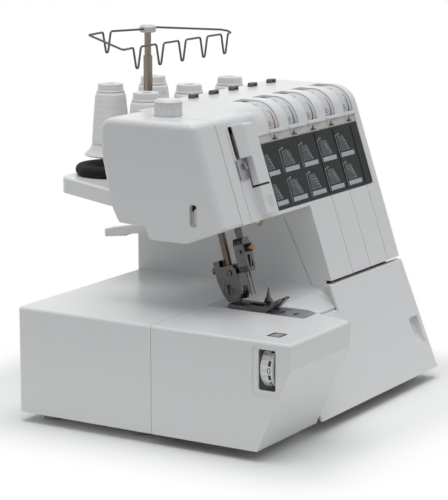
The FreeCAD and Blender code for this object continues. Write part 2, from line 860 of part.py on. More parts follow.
def face_cover():
    """Left end cap of the head."""
    body = new_body("face_cover")
    none = dim(0)
    section = arm_section(size.head_top, size.head_round, none)
    rear = rear_arm_section(size.head_top, none)
    outline = section[:4] + rear[1:5] + section[6:]
    add(body, "X", size.head_left, size.face_seam, outline)
    left = size.head_left.value
    brow = size.chin_height.value + 40
    round_edges(body, size.face_round, lambda box: near(box.XMin, left) and near(box.XMax, left)
                and box.ZMax > brow)
    round_edges(body, size.edge_round - 1, lambda box: near(box.XMin, left) and near(box.XMax, left)
                and box.ZMax < brow and box.ZMin < size.jaw_height.value + 14)
    inner = arm_section(size.head_top, size.head_round, size.wall)
    inner_rear = rear_arm_section(size.head_top, size.wall)
    cut(body, "X", size.head_left + size.wall, size.face_seam, inner[:4] + inner_rear[1:5] + inner[6:])
    boss = rectangle(cutter_y - 6, cutter_z - 13, cutter_y + 6, cutter_z + 13)
    add(body, "X", size.head_left + 1, size.head_left + 8, boss)
    cut(body, "X", size.head_left, size.head_left + 5,
        rectangle(cutter_y - 4, cutter_z - 11, cutter_y + 4, cutter_z + 11, 3.5))
    seat(body)


def thread_cutter():
    """Blade in the slot of the face cover."""
    body = new_body("thread_cutter")
    blade = [(cutter_y - 2, cutter_z - 8), (cutter_y + 2, cutter_z - 8), (cutter_y + 2, cutter_z + 4),
             (cutter_y - 2, cutter_z + 8)]
    add(body, "X", size.head_left + 3.8, size.head_left + 5, blade)
    seat(body)


def right_end_cover():
    """Lower side panel under the upper housing, behind the looper cover's right edge."""
    body = new_body("right_end_cover")
    low = size.foot_height
    clear = 5
    shoulder = size.cover_top - 4.5
    notch = size.recess_depth + clear
    notch_low = size.recess_low - 6
    notch_high = size.recess_high + 6
    panel = [(48, low), (48, size.hinge_height), (cover_at(24) + clear, 24),
             (cover_at(notch_low) + clear, notch_low), (cover_at(notch_low) + notch, notch_low),
             (cover_at(notch_high) + notch, notch_high), (cover_at(notch_high) + clear, notch_high),
             (cover_at(shoulder) + clear, shoulder), (92, shoulder), (92, size.upper_bottom - size.seam),
             (size.split, size.upper_bottom - size.seam), (size.split, low)]
    add(body, "X", size.body_width - size.wall, size.body_width, panel)
    seat(body)


recess_left = size.body_width - size.recess_width


def looper_cover():
    """Hinged front cover with its scooped left edge, finger recess and hinge lugs."""
    body = new_body("looper_cover")
    low = size.cover_bottom
    right = size.body_width

    def leaf(top):
        flange = cover_at(top) + 6
        return [(cover_at(low), low), (inner_cover_at(low), low),
                (inner_cover_at(top - size.wall), top - size.wall), (flange, top - size.wall),
                (flange, top), (cover_at(top), top, 2)]

    add(body, "X", size.scoop_right, right, leaf(size.cover_top))
    add(body, "X", size.cover_left, size.scoop_right, leaf(size.scoop_top))
    lug = [(inner_cover_at(15) - 1, 15), (hinge_back + 5, 15), (hinge_back + 5, 24),
           (inner_cover_at(24) - 1, 24)]
    for lug_left in (size.cover_left + 13, right - 40):
        add(body, "X", lug_left, lug_left + 6, lug)
        cut(body, "X", lug_left, lug_left + 6,
            (hinge_back, size.hinge_height, size.hinge_rod / 2 + size.running))
    deep = size.recess_depth
    cup = [(cover_at(size.recess_low - 3) + 1, size.recess_low - 3),
           (cover_at(size.recess_low - 3) + deep + 2, size.recess_low - 3),
           (cover_at(size.recess_high + 3) + deep + 2, size.recess_high + 3),
           (cover_at(size.recess_high + 3) + 1, size.recess_high + 3)]
    add(body, "X", recess_left - 3, right - size.wall - 1.5, cup)
    hollow = [(cover_at(size.recess_low) - 3, size.recess_low + 4),
              (cover_at(size.recess_low) + 2, size.recess_low),
              (cover_at(size.recess_low) + deep, size.recess_low + 8, 3),
              (cover_at(size.recess_high) + deep - 2, size.recess_high, 3),
              (cover_at(size.recess_high) - 3, size.recess_high)]
    cut(body, "X", recess_left, right - size.wall - 4, hollow)
    seat(body)


def cover_hinge_rod():
    body = new_body("cover_hinge_rod")
    add(body, "X", size.cover_left - 9, size.body_width - 10,
        (hinge_back, size.hinge_height, size.hinge_rod / 2))
    seat(body)


def extension_table():
    """Removable table: a wedge-fronted shell, open below and to the right, notched for the plate."""
    body = new_body("extension_table")
    low = size.foot_height
    top = size.table_top
    back = size.table_depth
    lip = top - size.lip_height
    wall = size.wall
    wedge = [(0, lip), (size.underside_run, low), (back, low), (back, top), (0, top)]
    add(body, "X", 0, size.table_width, wedge)
    edge = top.value
    round_edges(body, 3, lambda box: near(box.ZMin, edge) and near(box.ZMax, edge)
                and (near(box.XMax, 0) or near(box.YMax, 0)))
    slope = size.underside_run / (lip - low)
    inset = wall * 1.15
    cavity = [(wall, lip + wall / 2), (size.underside_run + slope * 2 + inset, low - 2),
              (back - wall, low - 2), (back - wall, table_under), (wall, table_under)]
    cut(body, "X", wall, size.table_width, cavity)
    flare = [(size.table_width - 1, 0), (size.table_width, 0),
             (size.table_width + size.table_flare, size.flare_depth),
             (size.table_width - 1, size.flare_depth)]
    add(body, "Z", table_under, top, flare)
    cut(body, "Z", table_under, top,
        rectangle(size.plate_left - size.seam, size.flare_depth, size.table_width, back))
    half = size.window_height / 2
    front = size.window_front
    middle = size.window_middle
    rear = front + size.window_width
    bezel = rectangle(front - 2, middle - half - 5, rear + 6, middle + half + 2, 3)
    cut(body, "X", 0, size.bezel_depth, bezel)
    cut(body, "X", 0, wall, rectangle(front, middle - half, rear, middle + half, 2))
    cut(body, "Z", top - size.inset_depth, top,
        rectangle(size.inset_left, size.inset_front, size.inset_left + size.inset_width,
                  size.inset_front + size.inset_length, 1))
    seat(body)


def needle_plate():
    """Steel plate with feed slots and needle slot."""
    body = new_body("needle_plate")
    left = size.plate_left
    right = left + size.plate_width
    front = size.plate_front
    back = size.table_depth
    plan = [(left, front), (right - 7, front), (right, front + 14), (right, back), (left, back)]
    add(body, "Z", table_under, size.table_top, plan)
    for row in feed_rows:
        cut(body, "Z", table_under, size.table_top,
            rectangle(row - 1.6, size.needle_y - 16, row + 1.6, size.needle_y + 28))
    cut(body, "Z", table_under, size.table_top,
        rectangle(size.needle_x - 4.5, size.needle_y - 6, size.needle_x + 4.5, size.needle_y + 6, 1))
    cut(body, "Z", table_under, size.table_top,
        rectangle(right - 9, size.needle_y - 22, right - 6, size.needle_y + 10, 1))
    seat(body)


def feed_dog():
    """Feed dog: a flat carrier with two toothed rows that stand in the plate's slots."""
    body = new_body("feed_dog")
    low = size.table_top - 6 + size.slip
    carrier_top = table_under - size.slip
    front = size.needle_y - 15
    back = size.needle_y + 29
    add(body, "Z", low, carrier_top, rectangle(feed_rows[0] - 2, front, feed_rows[1] + 2.4, back))
    first = size.needle_y - 11
    pitch = 3.4
    root = carrier_top - 0.5
    teeth = [(first + pitch * 10, root), (first, root), (first, size.table_top - 1)]
    for i in range(10):
        teeth.append((first + pitch * i + 1.2, size.table_top + 0.15))
        teeth.append((first + pitch * (i + 1), size.table_top - 1))
    for row in feed_rows:
        add(body, "X", row - 1, row + 1, teeth)
    seat(body)


def needle_bar():
    body = new_body("needle_bar")
    add(body, "Z", 50, 183, (0, 0, size.needle_bar / 2))
    collar = rectangle(-7, -6, 7, 6, 2)
    add(body, "Z", bar_collar, bar_collar + 7, collar)
    seat(body, size.needle_x, size.needle_y, size.table_top, size.bar_lean)


def needle_clamp():
    """Clamp block at the foot of the needle bar, with its set screw."""
    body = new_body("needle_clamp")
    half = size.needle_gap / 2 + 4.2
    front = [(-half + 1.5, 36), (half - 1.5, 36), (half, 42), (half, 63), (half - 2, 69), (-half + 2, 69),
             (-half, 63), (-half, 42)]
    add(body, "Y", -5.5, 5.5, front)
    cut(body, "Y", -5.5, -3.8, [(-3.6, 40), (-1.6, 40), (1.6, 52), (-3.6, 52)])
    cut(body, "Y", -5.5, -3.8, [(0.4, 40), (3.6, 40), (3.6, 50)])
    cut(body, "Z", 50, 69, (0, 0, size.needle_bar / 2))
    add(body, "Y", -10.5, -5, (2, 58.5, 3.6))
    for side in (-1, 1):
        cut(body, "Z", 36, 44, (size.needle_gap / 2 * side, 0, size.needle_shank / 2))
    add(body, "X", -half - 2, -half + 0.5, (0, 56, 2))
    seat(body, size.needle_x, size.needle_y, size.table_top, size.bar_lean)


def needles():
    tips = []
    for side in (-1, 1):
        needle = loose_body(f"needle_{side + 1}")
        blade = size.needle_blade / 2
        shank = size.needle_shank / 2
        turn(needle, "Z", [(0, 11.75), (blade, 14.5), (blade, 30), (shank, 32), (shank, 44), (0, 44)])
        x = size.needle_x + size.needle_gap / 2 * side
        seat(needle, x, size.needle_y, size.table_top, size.bar_lean)
        tips.append(needle)
    group("needles", tips)


def presser_bar():
    """Presser bar with the lifting collar and its finger over the lifter."""
    body = new_body("presser_bar")
    add(body, "Z", 26, 174, (0, 0, size.presser_bar / 2))
    add(body, "Z", 92.9, 97, rectangle(-8, -7, 8, 7, 2))
    finger_left = size.lifter_left + 1 - size.needle_x
    finger = [(finger_left, -4), (-7, -4), (-7, 6), (finger_left + 11, 6), (finger_left + 11, 24),
              (finger_left, 24)]
    add(body, "Z", 92.9, 96.5, finger)
    seat(body, size.needle_x, size.presser_y, size.table_top, size.bar_lean)


def foot_holder():
    """Fork at the foot of the presser bar, with the pin that the foot tilts on."""
    body = new_body("foot_holder")
    side = [(-8, 5), (4, 5), (8, 12), (11.5, 28), (11.5, 46), (4.8, 46), (4.8, 40), (-9, 40), (-12, 35),
            (-12, 11)]
    add(body, "X", -9, 9, side)
    cut(body, "X", -5.2, 5.2, [(-14, 0), (14, 0), (14, 18), (-14, 18)])
    cut(body, "X", -9, 9, rectangle(-6.2, 12.5, 1.8, 22, 0.8))
    cut(body, "Z", 26, 46, (0, 0, size.presser_bar / 2))
    add(body, "X", -9, 9, (0, size.foot_pivot, size.foot_pin / 2))
    add(body, "X", -10.6, -8.8, (-3.4, 32.8, 3.3))
    cut(body, "X", -10.6, -9.8, rectangle(-6, 32.3, -0.8, 33.3))
    cut(body, "X", -10.6, -9.8, rectangle(-3.9, 30.2, -2.9, 35.4))
    add(body, "Y", 11, 15.5, (-4, 37, 3.3))
    seat(body, size.needle_x, size.presser_y, size.table_top, size.bar_lean)


def presser_foot():
    """Foot with turned-up toes, a needle slot and the shank that hangs on the holder's pin."""
    body = new_body("presser_foot")
    low = size.table_top + 0.4
    high = low + 2.8
    heel = foot_axis_y + 1.6
    toe = size.needle_y - 30
    crown = low + 12
    sole = [(heel, low), (heel, high), (toe + 13, high, 8), (toe + 2.6, crown), (toe, crown - 1),
            (toe + 11, low, 10)]
    add(body, "X", size.needle_x - 12, size.needle_x + 12, sole)
    cut(body, "Z", low - 1, crown + 1, rectangle(size.needle_x - 4.6, size.needle_y - 9, size.needle_x + 4.6,
                                                 size.needle_y + 8, 2))
    cut(body, "Z", low - 1, crown + 1, [(size.needle_x - 2, toe - 2), (size.needle_x + 2, toe - 2),
                                        (size.needle_x + 2, size.needle_y - 14),
                                        (size.needle_x - 2, size.needle_y - 14)])
    shank = [(foot_axis_y - 3.5, high - 1), (foot_axis_y + 1.6, high - 1),
             (foot_axis_y + 3.4, foot_axis_z + 1), (foot_axis_y + 1, foot_axis_z + 3.2),
             (foot_axis_y - 3.5, foot_axis_z + 1.5)]
    add(body, "X", size.needle_x - 4.9, size.needle_x + 4.9, shank)
    cut(body, "X", size.needle_x - 4.9, size.needle_x + 4.9,
        (foot_axis_y, foot_axis_z, size.foot_pin / 2 + size.running))
    seat(body)


def presser_lifter():
    """Lever behind the head that raises the foot, with a ribbed thumb grip."""
    body = new_body("presser_lifter")
    left = size.lifter_left
    right = left + size.lifter_width
    y = size.lifter_back
    z = size.lifter_height
    add(body, "X", left, right, (y, z, 5.5))
    arm = [(y, z - 3), (y + 47, z - 11.5), (y + 92, z - 17.5), (y + 92, z - 11.5), (y + 60, z - 5.5),
           (y, z + 3)]
    add(body, "X", left, right, arm)
    for i in range(5):
        add(body, "X", left, right, (y + 70 + 5 * i, z - 14.6 - 0.62 * i, 2))
    cut(body, "X", left, right, (y, z, size.lifter_pin / 2 + size.running))
    seat(body)


def pressure_knob():
    """Knurled knob over its screw stem."""
    body = new_body("pressure_knob")
    radius = size.knob_size / 2
    top = size.knob_height
    stem = size.knob_stem / 2
    turn(body, "Z", [(0, -32), (stem, -32), (stem, size.slip), (radius, size.slip), (radius, top - 2),
                     (radius - 2, top), (0, top)])
    groove = grip_grooves(body, radius, top)
    body.Tip = groove
    doc.recompute()
    seat(body, size.knob_x, size.knob_y, size.head_top)


def grip_grooves(body, radius, top):
    """Grip grooves around the knob, one cut repeated about the axis."""
    first = cut(body, "Z", size.slip, top - 2.5, (radius + 0.5, 0, 1.3))
    pattern = body.newObject("PartDesign::PolarPattern", "knob_grooves")
    pattern.Originals = [first]
    pattern.Axis = ([item for item in body.Origin.OriginFeatures if item.Role == "Z_Axis"][0], [""])
    pattern.Angle = 360
    pattern.Occurrences = 24
    return pattern


def tension_dials():
    """Five thread tension dials on one axle, with raised rims at both ends."""
    for i in range(5):
        body = new_body(f"tension_dial_{i + 1}")
        half = size.dial_width / 2
        radius = size.dial_size / 2
        bore = size.dial_axle / 2 + size.running
        rim = half - size.dial_rim
        turn(body, "X", [(-half, bore), (half, bore), (half, radius), (rim + 0.8, radius),
                         (rim, radius - 0.8), (-rim, radius - 0.8), (-rim - 0.8, radius), (-half, radius)])
        seat(body, size.dial_first + size.dial_pitch * i, dial_axis_y, dial_axis_z)
    axle = new_body("dial_axle")
    add(axle, "X", size.dial_left + 5, size.body_width - 5, (dial_axis_y, dial_axis_z, size.dial_axle / 2))
    seat(axle)


def leaning_plate(body, left, right, low, high, deep, proud):
    """A plate that lies along the leaning front, from deep inside it to proud of it."""
    add(body, "X", left, right, leaning(low, high, deep, proud))


def thread_chart_panel():
    """Dark chart panel with three thread slots and a rounded lower right corner."""
    body = new_body("thread_chart_panel")
    left = size.panel_left + size.running
    right = panel_right - size.running
    face = size.panel_inset
    back = face + size.panel_thick
    low = back * sin(size.front_lean) + 0.1
    top = up_front(size.panel_low, panel_high)
    add(body, "Y", face, back, [(left, low), (right, low, 4), (right, top), (left, top)])
    half = size.thread_slot / 2
    for i in (2, 3, 4):
        x = thread_slot_x(i)
        cut(body, "Y", face, back - 0.4, rectangle(x - half, low + 2, x + half, top - 2))
    on_front(body, size.panel_low)


def on_front(body, low):
    """Seat a body on the leaning front: its own Z runs up the slope and its own -Y stands proud."""
    seat(body, 0, front_at(low), low, size.front_lean)


def up_front(low, high):
    """Distance up the slope between two heights on the leaning front."""
    return (high - low) / cos(size.front_lean)


def takeup_guard():
    """Cover over the needle thread take-up: a proud block with a slanted wing at its upper left."""
    body = new_body("takeup_guard")
    left = size.guard_left
    right = size.guard_right
    proud = size.guard_proud
    top = up_front(size.guard_low, size.guard_high)
    add(body, "Y", -proud, 0, [(left, 0), (right, 0), (right, top, 7), (left, top)])
    wing_start = up_front(size.guard_low, size.wing_low)
    wing = [(left - size.guard_wing, 0), (left - size.guard_wing, -1), (left, -proud), (left + 1, -proud),
            (left + 1, 0)]
    add(body, "Z", wing_start, top, wing)
    face = -proud.value
    round_edges(body, 2.2, lambda box: near(box.YMin, face) and near(box.YMax, face)
                and (box.XMin > left.value + 2 or box.ZMin > top.value - 0.1))
    on_front(body, size.guard_low)


def takeup_latch():
    """Ribbed lower end of the take-up guard."""
    body = new_body("takeup_latch")
    left = size.guard_left
    right = size.guard_right
    low = size.guard_low - 28
    top = up_front(low, size.guard_low - 2)
    proud = size.guard_proud - 0.5
    add(body, "Y", -proud, 0, [(left, 0), (right, 0, 6), (right, top), (left, top)])
    for i in range(3):
        rib = left + 8 + 3.4 * i
        add(body, "Y", -proud - 0.9, 0.5 - proud, rectangle(rib, 6, rib + 1.4, 17, 0.6))
    on_front(body, low)


def takeup_plate():
    """Small steel guide plate beside the guard, with a hook and the lever that stands in the slot."""
    body = new_body("takeup_plate")
    left = size.takeup_slot - 3
    right = size.guard_left - 1
    low = size.guard_low + 7.5
    top = up_front(low, size.wing_low - 1)
    add(body, "Y", -1.4, 0, rectangle(left, 0, right, top))
    add(body, "Y", -4, -1, rectangle(left + 9, top - 10, left + 11, top - 4))
    add(body, "Y", -4, -3, rectangle(left + 9, top - 10, left + 14, top - 8))
    add(body, "Y", -1.4, 0, rectangle(left + 4, top - 1, left + 6.5, top + 25))
    on_front(body, low)


def tension_thread_guides():
    """Small hooks on the ledge under the dials."""
    hooks = []
    for i in range(5):
        hook = loose_body(f"tension_hook_{i + 1}")
        x = thread_slot_x(i)
        low = panel_high + 2
        seat_depth = size.strip_depth
        leaning_plate(hook, x - 2.5, x + 2.5, low, low + 1.4, seat_depth, dim(2.2))
        leaning_plate(hook, x - 2.5, x - 0.5, low + 1, low + 4, dim(-1.2), dim(2.2))
        seat(hook)
        hooks.append(hook)
    group("tension_thread_guides", hooks)


def top_thread_guides():
    """Bridge-shaped guides on the housing top, one behind each dial."""
    bridges = []
    for i in range(5):
        bridge = loose_body(f"top_bridge_{i + 1}")
        x = size.dial_first + size.dial_pitch * i - 8
        top = size.dial_top
        arch = [(x - 6, top), (x - 3.5, top), (x - 3.5, top + 2.6), (x + 3.5, top + 2.6), (x + 3.5, top),
                (x + 6, top), (x + 6, top + 4, 2), (x - 6, top + 4, 2)]
        add(bridge, "Y", size.split + 6, size.split + 11, arch)
        seat(bridge)
        bridges.append(bridge)
    group("top_thread_guides", bridges)


def work_lamp():
    """Lamp lens in the mouth of the head, hung from the casting's head block."""
    body = new_body("work_lamp")
    left = size.needle_x + 20
    add(body, "X", left, left + 9, [(124, 197, 2), (140, 197, 2), (140, 206), (124, 206)])
    add(body, "X", size.needle_x + 18, left + 9, rectangle(126, 206, 138, 222))
    seat(body)


def stitch_length_dial():
    """Thumbwheel in the table's left window, on a pin of the free arm."""
    body = new_body("stitch_length_dial")
    radius = size.wheel_size / 2
    half = size.wheel_width / 2
    bore = size.wheel_pin / 2 + size.running
    turn(body, "Y", [(bore, -half), (radius - 1.5, -half), (radius, 1.5 - half), (radius, half - 1.5),
                     (radius - 1.5, half), (bore, half)])
    first = cut(body, "Y", -half, half, (radius + 0.6, 0, 1.8))
    pattern = body.newObject("PartDesign::PolarPattern", "wheel_grooves")
    pattern.Originals = [first]
    pattern.Axis = ([item for item in body.Origin.OriginFeatures if item.Role == "Y_Axis"][0], [""])
    pattern.Angle = 360
    pattern.Occurrences = 24
    body.Tip = pattern
    doc.recompute()
    seat(body, wheel_x, size.window_front + size.window_width / 2 + 1, size.window_middle)


def loopers():
    """Upper and lower looper on their rocking pins beside the needle."""
    left = size.table_width + size.wall
    arms = (("upper_looper", looper_pivots[0], left + 6, 72, -1),
            ("lower_looper", looper_pivots[1], left + 11, 66, 1))
    for label, y, start, reach, lean in arms:
        body = new_body(label)
        z = looper_height
        add(body, "X", left - 3, start + 4, (y, z, looper_pin / 2))
        add(body, "X", start, start + 4, (y, z, 8))
        hook = [(y + u * lean, z + v) for u, v in ((-4, 0), (4, 0), (3.2, reach - 16), (6.5, reach - 4),
                                                   (14, reach), (-0.5, reach - 1), (-3.2, reach - 14))]
        add(body, "X", start, start + 4, hook)
        seat(body)


def main_shaft():
    """Main shaft with its two eccentrics."""
    body = new_body("main_shaft")
    end = size.body_width + size.handwheel_reach
    start = size.first_bearing - 10
    add(body, "X", start, end - 3, (size.shaft_back, size.shaft_height, size.shaft_size / 2))
    for low in (start + 32, start + 48):
        add(body, "X", low, low + 9, (size.shaft_back + 2.5, size.shaft_height, size.shaft_size / 2 + 9))
    seat(body)


def handwheel():
    """Dished handwheel with a grooved rim."""
    body = new_body("handwheel")
    radius = size.handwheel_size / 2
    bore = size.shaft_size / 2
    start = 2
    end = size.handwheel_reach
    turn(body, "X", [(start, bore), (start, 16), (start + 6, 18), (start + 6, radius - 8),
                     (start, radius - 6), (start, radius), (end - 5, radius), (end, radius - 5),
                     (end, radius - 12), (end - 5, radius - 16), (end - 5, 14), (end - 3, bore)])
    seat(body, size.body_width, size.shaft_back, size.shaft_height)


def belt_wheel():
    body = new_body("belt_wheel")
    radius = size.belt_wheel / 2
    low = belt_left
    high = low + size.belt_width + 3
    bore = size.shaft_size / 2
    rim = radius + 1.5
    turn(body, "X", [(low, bore), (high, bore), (high, rim), (high - 1, rim), (high - 1, radius),
                     (low + 1, radius), (low + 1, rim), (low, rim)])
    seat(body, 0, size.shaft_back, size.shaft_height)


def motor():
    """Motor can on the end plate of the casting."""
    body = new_body("motor")
    radius = size.motor_size / 2
    end = end_bearing
    start = end - size.motor_length
    turn(body, "X", [(start - 4, 0), (start - 4, 9), (start, 9), (start, radius - 4), (start + 4, radius),
                     (end - 4, radius), (end, radius - 4), (end, 0)])
    seat(body, 0, size.motor_back, size.motor_height)


def motor_pulley():
    body = new_body("motor_pulley")
    radius = size.motor_wheel / 2
    low = belt_left
    high = low + size.belt_width + 3
    start = end_bearing + size.slip
    rim = radius + 1.5
    turn(body, "X", [(start, 0), (start, 4), (low, 4), (low, rim), (low + 1, rim), (low + 1, radius),
                     (high - 1, radius), (high - 1, rim), (high, rim), (high, 0)])
    seat(body, 0, size.motor_back, size.motor_height)


def belt_loop(first, second, radius_a, radius_b):
    """Closed wire round two circles: two arcs and their outer tangents."""
    along = second - first
    swing = math.acos((radius_a - radius_b) / along.Length)
    heading = math.atan2(along.z, along.y)

    def point(centre, radius, angle):
        return centre + FreeCAD.Vector(0, math.cos(angle), math.sin(angle)) * radius

    a0 = point(first, radius_a, heading + swing)
    a1 = point(first, radius_a, heading + math.pi)
    a2 = point(first, radius_a, heading - swing)
    b0 = point(second, radius_b, heading + swing)
    b1 = point(second, radius_b, heading)
    b2 = point(second, radius_b, heading - swing)
    return Part.Wire([Part.Arc(a0, a1, a2).toShape(), Part.LineSegment(a2, b2).toShape(),
                      Part.Arc(b2, b1, b0).toShape(), Part.LineSegment(b0, a0).toShape()])


def drive_belt():
    """Belt from the motor pulley to the wheel on the main shaft."""
    start = belt_left.value + 1.5
    first = FreeCAD.Vector(start, size.shaft_back.value, size.shaft_height.value)
    second = FreeCAD.Vector(start, size.motor_back.value, size.motor_height.value)
    inner_a = size.belt_wheel.value / 2 + size.slip.value
    inner_b = size.motor_wheel.value / 2 + size.slip.value
    thick = size.belt_thick.value
    outer = belt_loop(first, second, inner_a + thick, inner_b + thick)
    inner = belt_loop(first, second, inner_a, inner_b)
    ring = Part.Face(outer).cut(Part.Face(inner))
    item = doc.addObject("Part::Feature", "drive_belt")
    item.Shape = ring.extrude(FreeCAD.Vector(size.belt_width.value, 0, 0)).Solids[0]
    seat(item)
    subpart(item, "drive_belt")


def needle_rocker():
    """Rock shaft under the housing top with the lever that drives the needle bar."""
    body = new_body("needle_rocker")
    y = size.rocker_back
    z = size.rocker_height
    lever_left = size.needle_x + 25
    add(body, "X", lever_left, bearing_spans[1][1] + 6, (y, z, size.rocker_shaft / 2))
    add(body, "X", lever_left, lever_left + 6, (y, z, 8))
    tip_y = size.needle_y + (bar_collar + 3.5) * sin(size.bar_lean)
    tip_z = size.table_top + (bar_collar + 3.5) * cos(size.bar_lean)
    lever = [(y, z - 6), (y, z + 6), (tip_y - 4, tip_z + 4), (tip_y - 4, tip_z - 4)]
    add(body, "X", lever_left, lever_left + 6, lever)
    add(body, "X", size.needle_x + 8, lever_left + 1, (tip_y, tip_z, 2.5))
    seat(body)


def power_inlet():
    """Flush mains inlet on the right side, with its plug recess and two contact pins."""
    body = new_body("power_inlet")
    right = size.body_width
    back = right - size.wall

    def face(half_y, half_z, radius):
        return rectangle(inlet_y - half_y, inlet_z - half_z, inlet_y + half_y, inlet_z + half_z, radius)

    add(body, "X", right - 18, right, face(14.8, 10.8, 3))
    add(body, "X", back - 2, back, face(17, 13, 3))
    cut(body, "X", right - 14, right, face(11.5, 7.5, 2))
    for side in (-1, 1):
        pin = inlet_y + 5 * side
        add(body, "X", right - 15, right - 4, rectangle(pin - 1, inlet_z - 2.5, pin + 1, inlet_z + 2.5))
    seat(body)


def power_switch():
    """Rocker of the power and light switch, with its pivot stubs."""
    body = new_body("power_switch")
    right = size.body_width
    rocker = [(right - 8, inlet_z - 6), (right + 0.6, inlet_z - 7), (right - 0.8, inlet_z, 6),
              (right + 0.6, inlet_z + 7), (right - 8, inlet_z + 6)]
    add(body, "Y", switch_y - 10, switch_y + 10, rocker)
    add(body, "Y", switch_y - 13.5, switch_y + 13.5, (right - 4.5, inlet_z, 1.5))
    seat(body)


def switch_frame():
    """Snap-in frame behind the wall that carries the switch rocker."""
    body = new_body("switch_frame")
    right = size.body_width
    back = right - size.wall
    add(body, "X", back - 12, back, rectangle(switch_y - 15, inlet_z - 11.5, switch_y + 15, inlet_z + 11.5))
    cut(body, "X", back - 11, back, rectangle(switch_y - 11, inlet_z - 9.5, switch_y + 11, inlet_z + 9.5))
    cut(body, "Y", switch_y - 15, switch_y + 15, (right - 4.5, inlet_z, 1.5 + size.running))
    seat(body)


def spool_tray():
    """Spool tray with cut rear corners, hollow below."""
    body = new_body("spool_tray")
    low = size.column_step
    top = low + size.tray_thick
    front = size.arm_back
    left = size.tray_left
    right = tray_right
    back = size.tray_back
    shoulder = size.spool_front + 18
    rear_left = size.spool_first + size.row_shift - size.cushion_size / 2 - 2
    rear_right = rear_left + size.spool_pitch + size.cushion_size + 4
    plan = [(left, front, 4), (right, front, 4), (right, shoulder, 20), (rear_right, back, 22),
            (rear_left, back, 22), (left, shoulder, 20)]
    add(body, "Z", low, top, plan)
    edge = top.value
    round_edges(body, 2.5, lambda box: near(box.ZMin, edge) and near(box.ZMax, edge))
    skin = size.wall + 0.5
    hollow = [(left + skin, front + skin), (size.column_left - skin, front + skin),
              (size.column_left - skin, size.bed_back), (size.column_left - skin, back - skin - 8),
              (rear_left + 12, back - skin - 8), (left + skin, shoulder)]
    cut(body, "Z", low, top - skin, hollow)
    rear = rectangle(size.column_left + skin, size.bed_back + skin, size.body_width - skin - 8,
                     back - skin, 8)
    cut(body, "Z", low, top - skin, rear)
    seat(body)


def spool_spots():
    """Middle of each spool: three in front, two behind them in the gaps."""
    front = [(size.spool_first + size.spool_pitch * i, size.spool_front) for i in range(3)]
    back = [(size.spool_first + size.row_shift + size.spool_pitch * i, size.spool_front + size.row_pitch)
            for i in range(2)]
    return front + back


def spool_stand():
    """Pins, foam cushions and thread cones at every spool place."""
    pins = []
    cushions = []
    cones = []
    for i, (x, y) in enumerate(spool_spots(), start=1):
        pins.append(peg(f"spool_pin_{i}", size.pin_size / 2, size.pin_length, x, y, tray_top))
        cushion = loose_body(f"spool_cushion_{i}")
        radius = size.cushion_size / 2
        thick = size.cushion_thick
        bore = size.pin_size / 2 + size.slip
        rim = size.cushion_round
        turn(cushion, "Z", [(bore, 0), (radius, 0, rim), (radius, thick, rim), (bore, thick)])
        seat(cushion, x, y, tray_top)
        cushions.append(cushion)
        cone = loose_body(f"thread_cone_{i}")
        top = size.cone_height
        bore = size.cone_bore / 2
        shell = size.cone_cap / 2
        flange = size.cone_flange / 2
        foot = size.cone_foot / 2
        turn(cone, "Z", [(bore, 0), (9, 0), (9, 4.5), (flange, 9), (flange, 10.5), (foot, 19.5),
                         (size.cone_shoulder / 2, top - 9), (shell, top - 7.6), (shell - 0.5, top),
                         (bore, top)])
        seat(cone, x, y, tray_top + size.cushion_thick)
        cones.append(cone)
    group("spool_pins", pins)
    group("spool_cushions", cushions)
    group("thread_cones", cones)


def thread_mast():
    """Telescopic mast: fixed lower tube, sliding upper tube and the guide cap."""
    lower = new_body("mast_lower_tube")
    outer = size.mast_outer / 2
    bore = size.mast_inner / 2 + size.running
    foot = outer + 0.5
    turn(lower, "Z", [(bore, tray_top), (foot, tray_top), (foot, tray_top + 9), (outer, tray_top + 10),
                      (outer, size.mast_step), (bore, size.mast_step)])
    seat(lower, size.mast_x, size.mast_y)
    upper = new_body("mast_upper_tube")
    hollow = size.mast_inner / 2 - 1
    turn(upper, "Z", [(hollow, tray_top + 26), (size.mast_inner / 2, tray_top + 26),
                      (size.mast_inner / 2, size.mast_top), (hollow, size.mast_top)])
    add(upper, "Z", size.mast_top - 3, size.mast_top, (0, 0, size.mast_inner / 2))
    spigot = hollow
    add(upper, "Z", size.mast_top - 3, size.mast_top + 4, (0, 0, spigot))
    seat(upper, size.mast_x, size.mast_y)
    cap = new_body("thread_guide_cap")
    radius = size.cap_size / 2
    low = size.mast_top + 0.1
    top = low + size.cap_height
    turn(cap, "Z", [(spigot + size.running, low), (radius - 1, low), (radius, low + 1), (radius, top - 2),
                    (radius - 2, top), (0, top), (0, low + 4.3), (spigot + size.running, low + 4.3)])
    for start, end in ((-radius, -4), (4, radius)):
        cut(cap, "X", start, end, (0, size.mast_top + 4, size.wire_size / 2))
    seat(cap, size.mast_x, size.mast_y)


def guide_route():
    """Corner points of the guide wire about the mast axis, from the cap's right side round to its left."""
    high = size.mast_top.value + 4
    run = size.wire_run.value
    reach = -size.wire_reach.value
    pitch = size.dip_pitch.value
    low = run - size.dip_depth.value
    far = 2.5 * pitch
    route = [(4, 0, high), (15, 0, high), (far - 3, reach + 11, run + 3), (far + 2, reach + 5, run + 1.5),
             (far - 1, reach, run)]
    for i in range(5):
        middle = (2 - i) * pitch + 7
        route += [(middle + 7, reach, run), (middle + 1.8, reach, low), (middle - 1.8, reach, low),
                  (middle - 7, reach, run)]
    end = -2.5 * pitch - 3
    back = -2.4 * pitch
    route += [(end, reach - 4, run), (back, 4, high + 1)]
    dip = back + 0.9 * pitch
    route += [(dip - 7, 8, high + 1), (dip - 1.8, 8, high + 1 - size.dip_depth.value),
              (dip + 1.8, 8, high + 1 - size.dip_depth.value), (dip + 7, 8, high + 1), (-15, 0, high),
              (-4, 0, high)]
    return [FreeCAD.Vector(*point) for point in route]


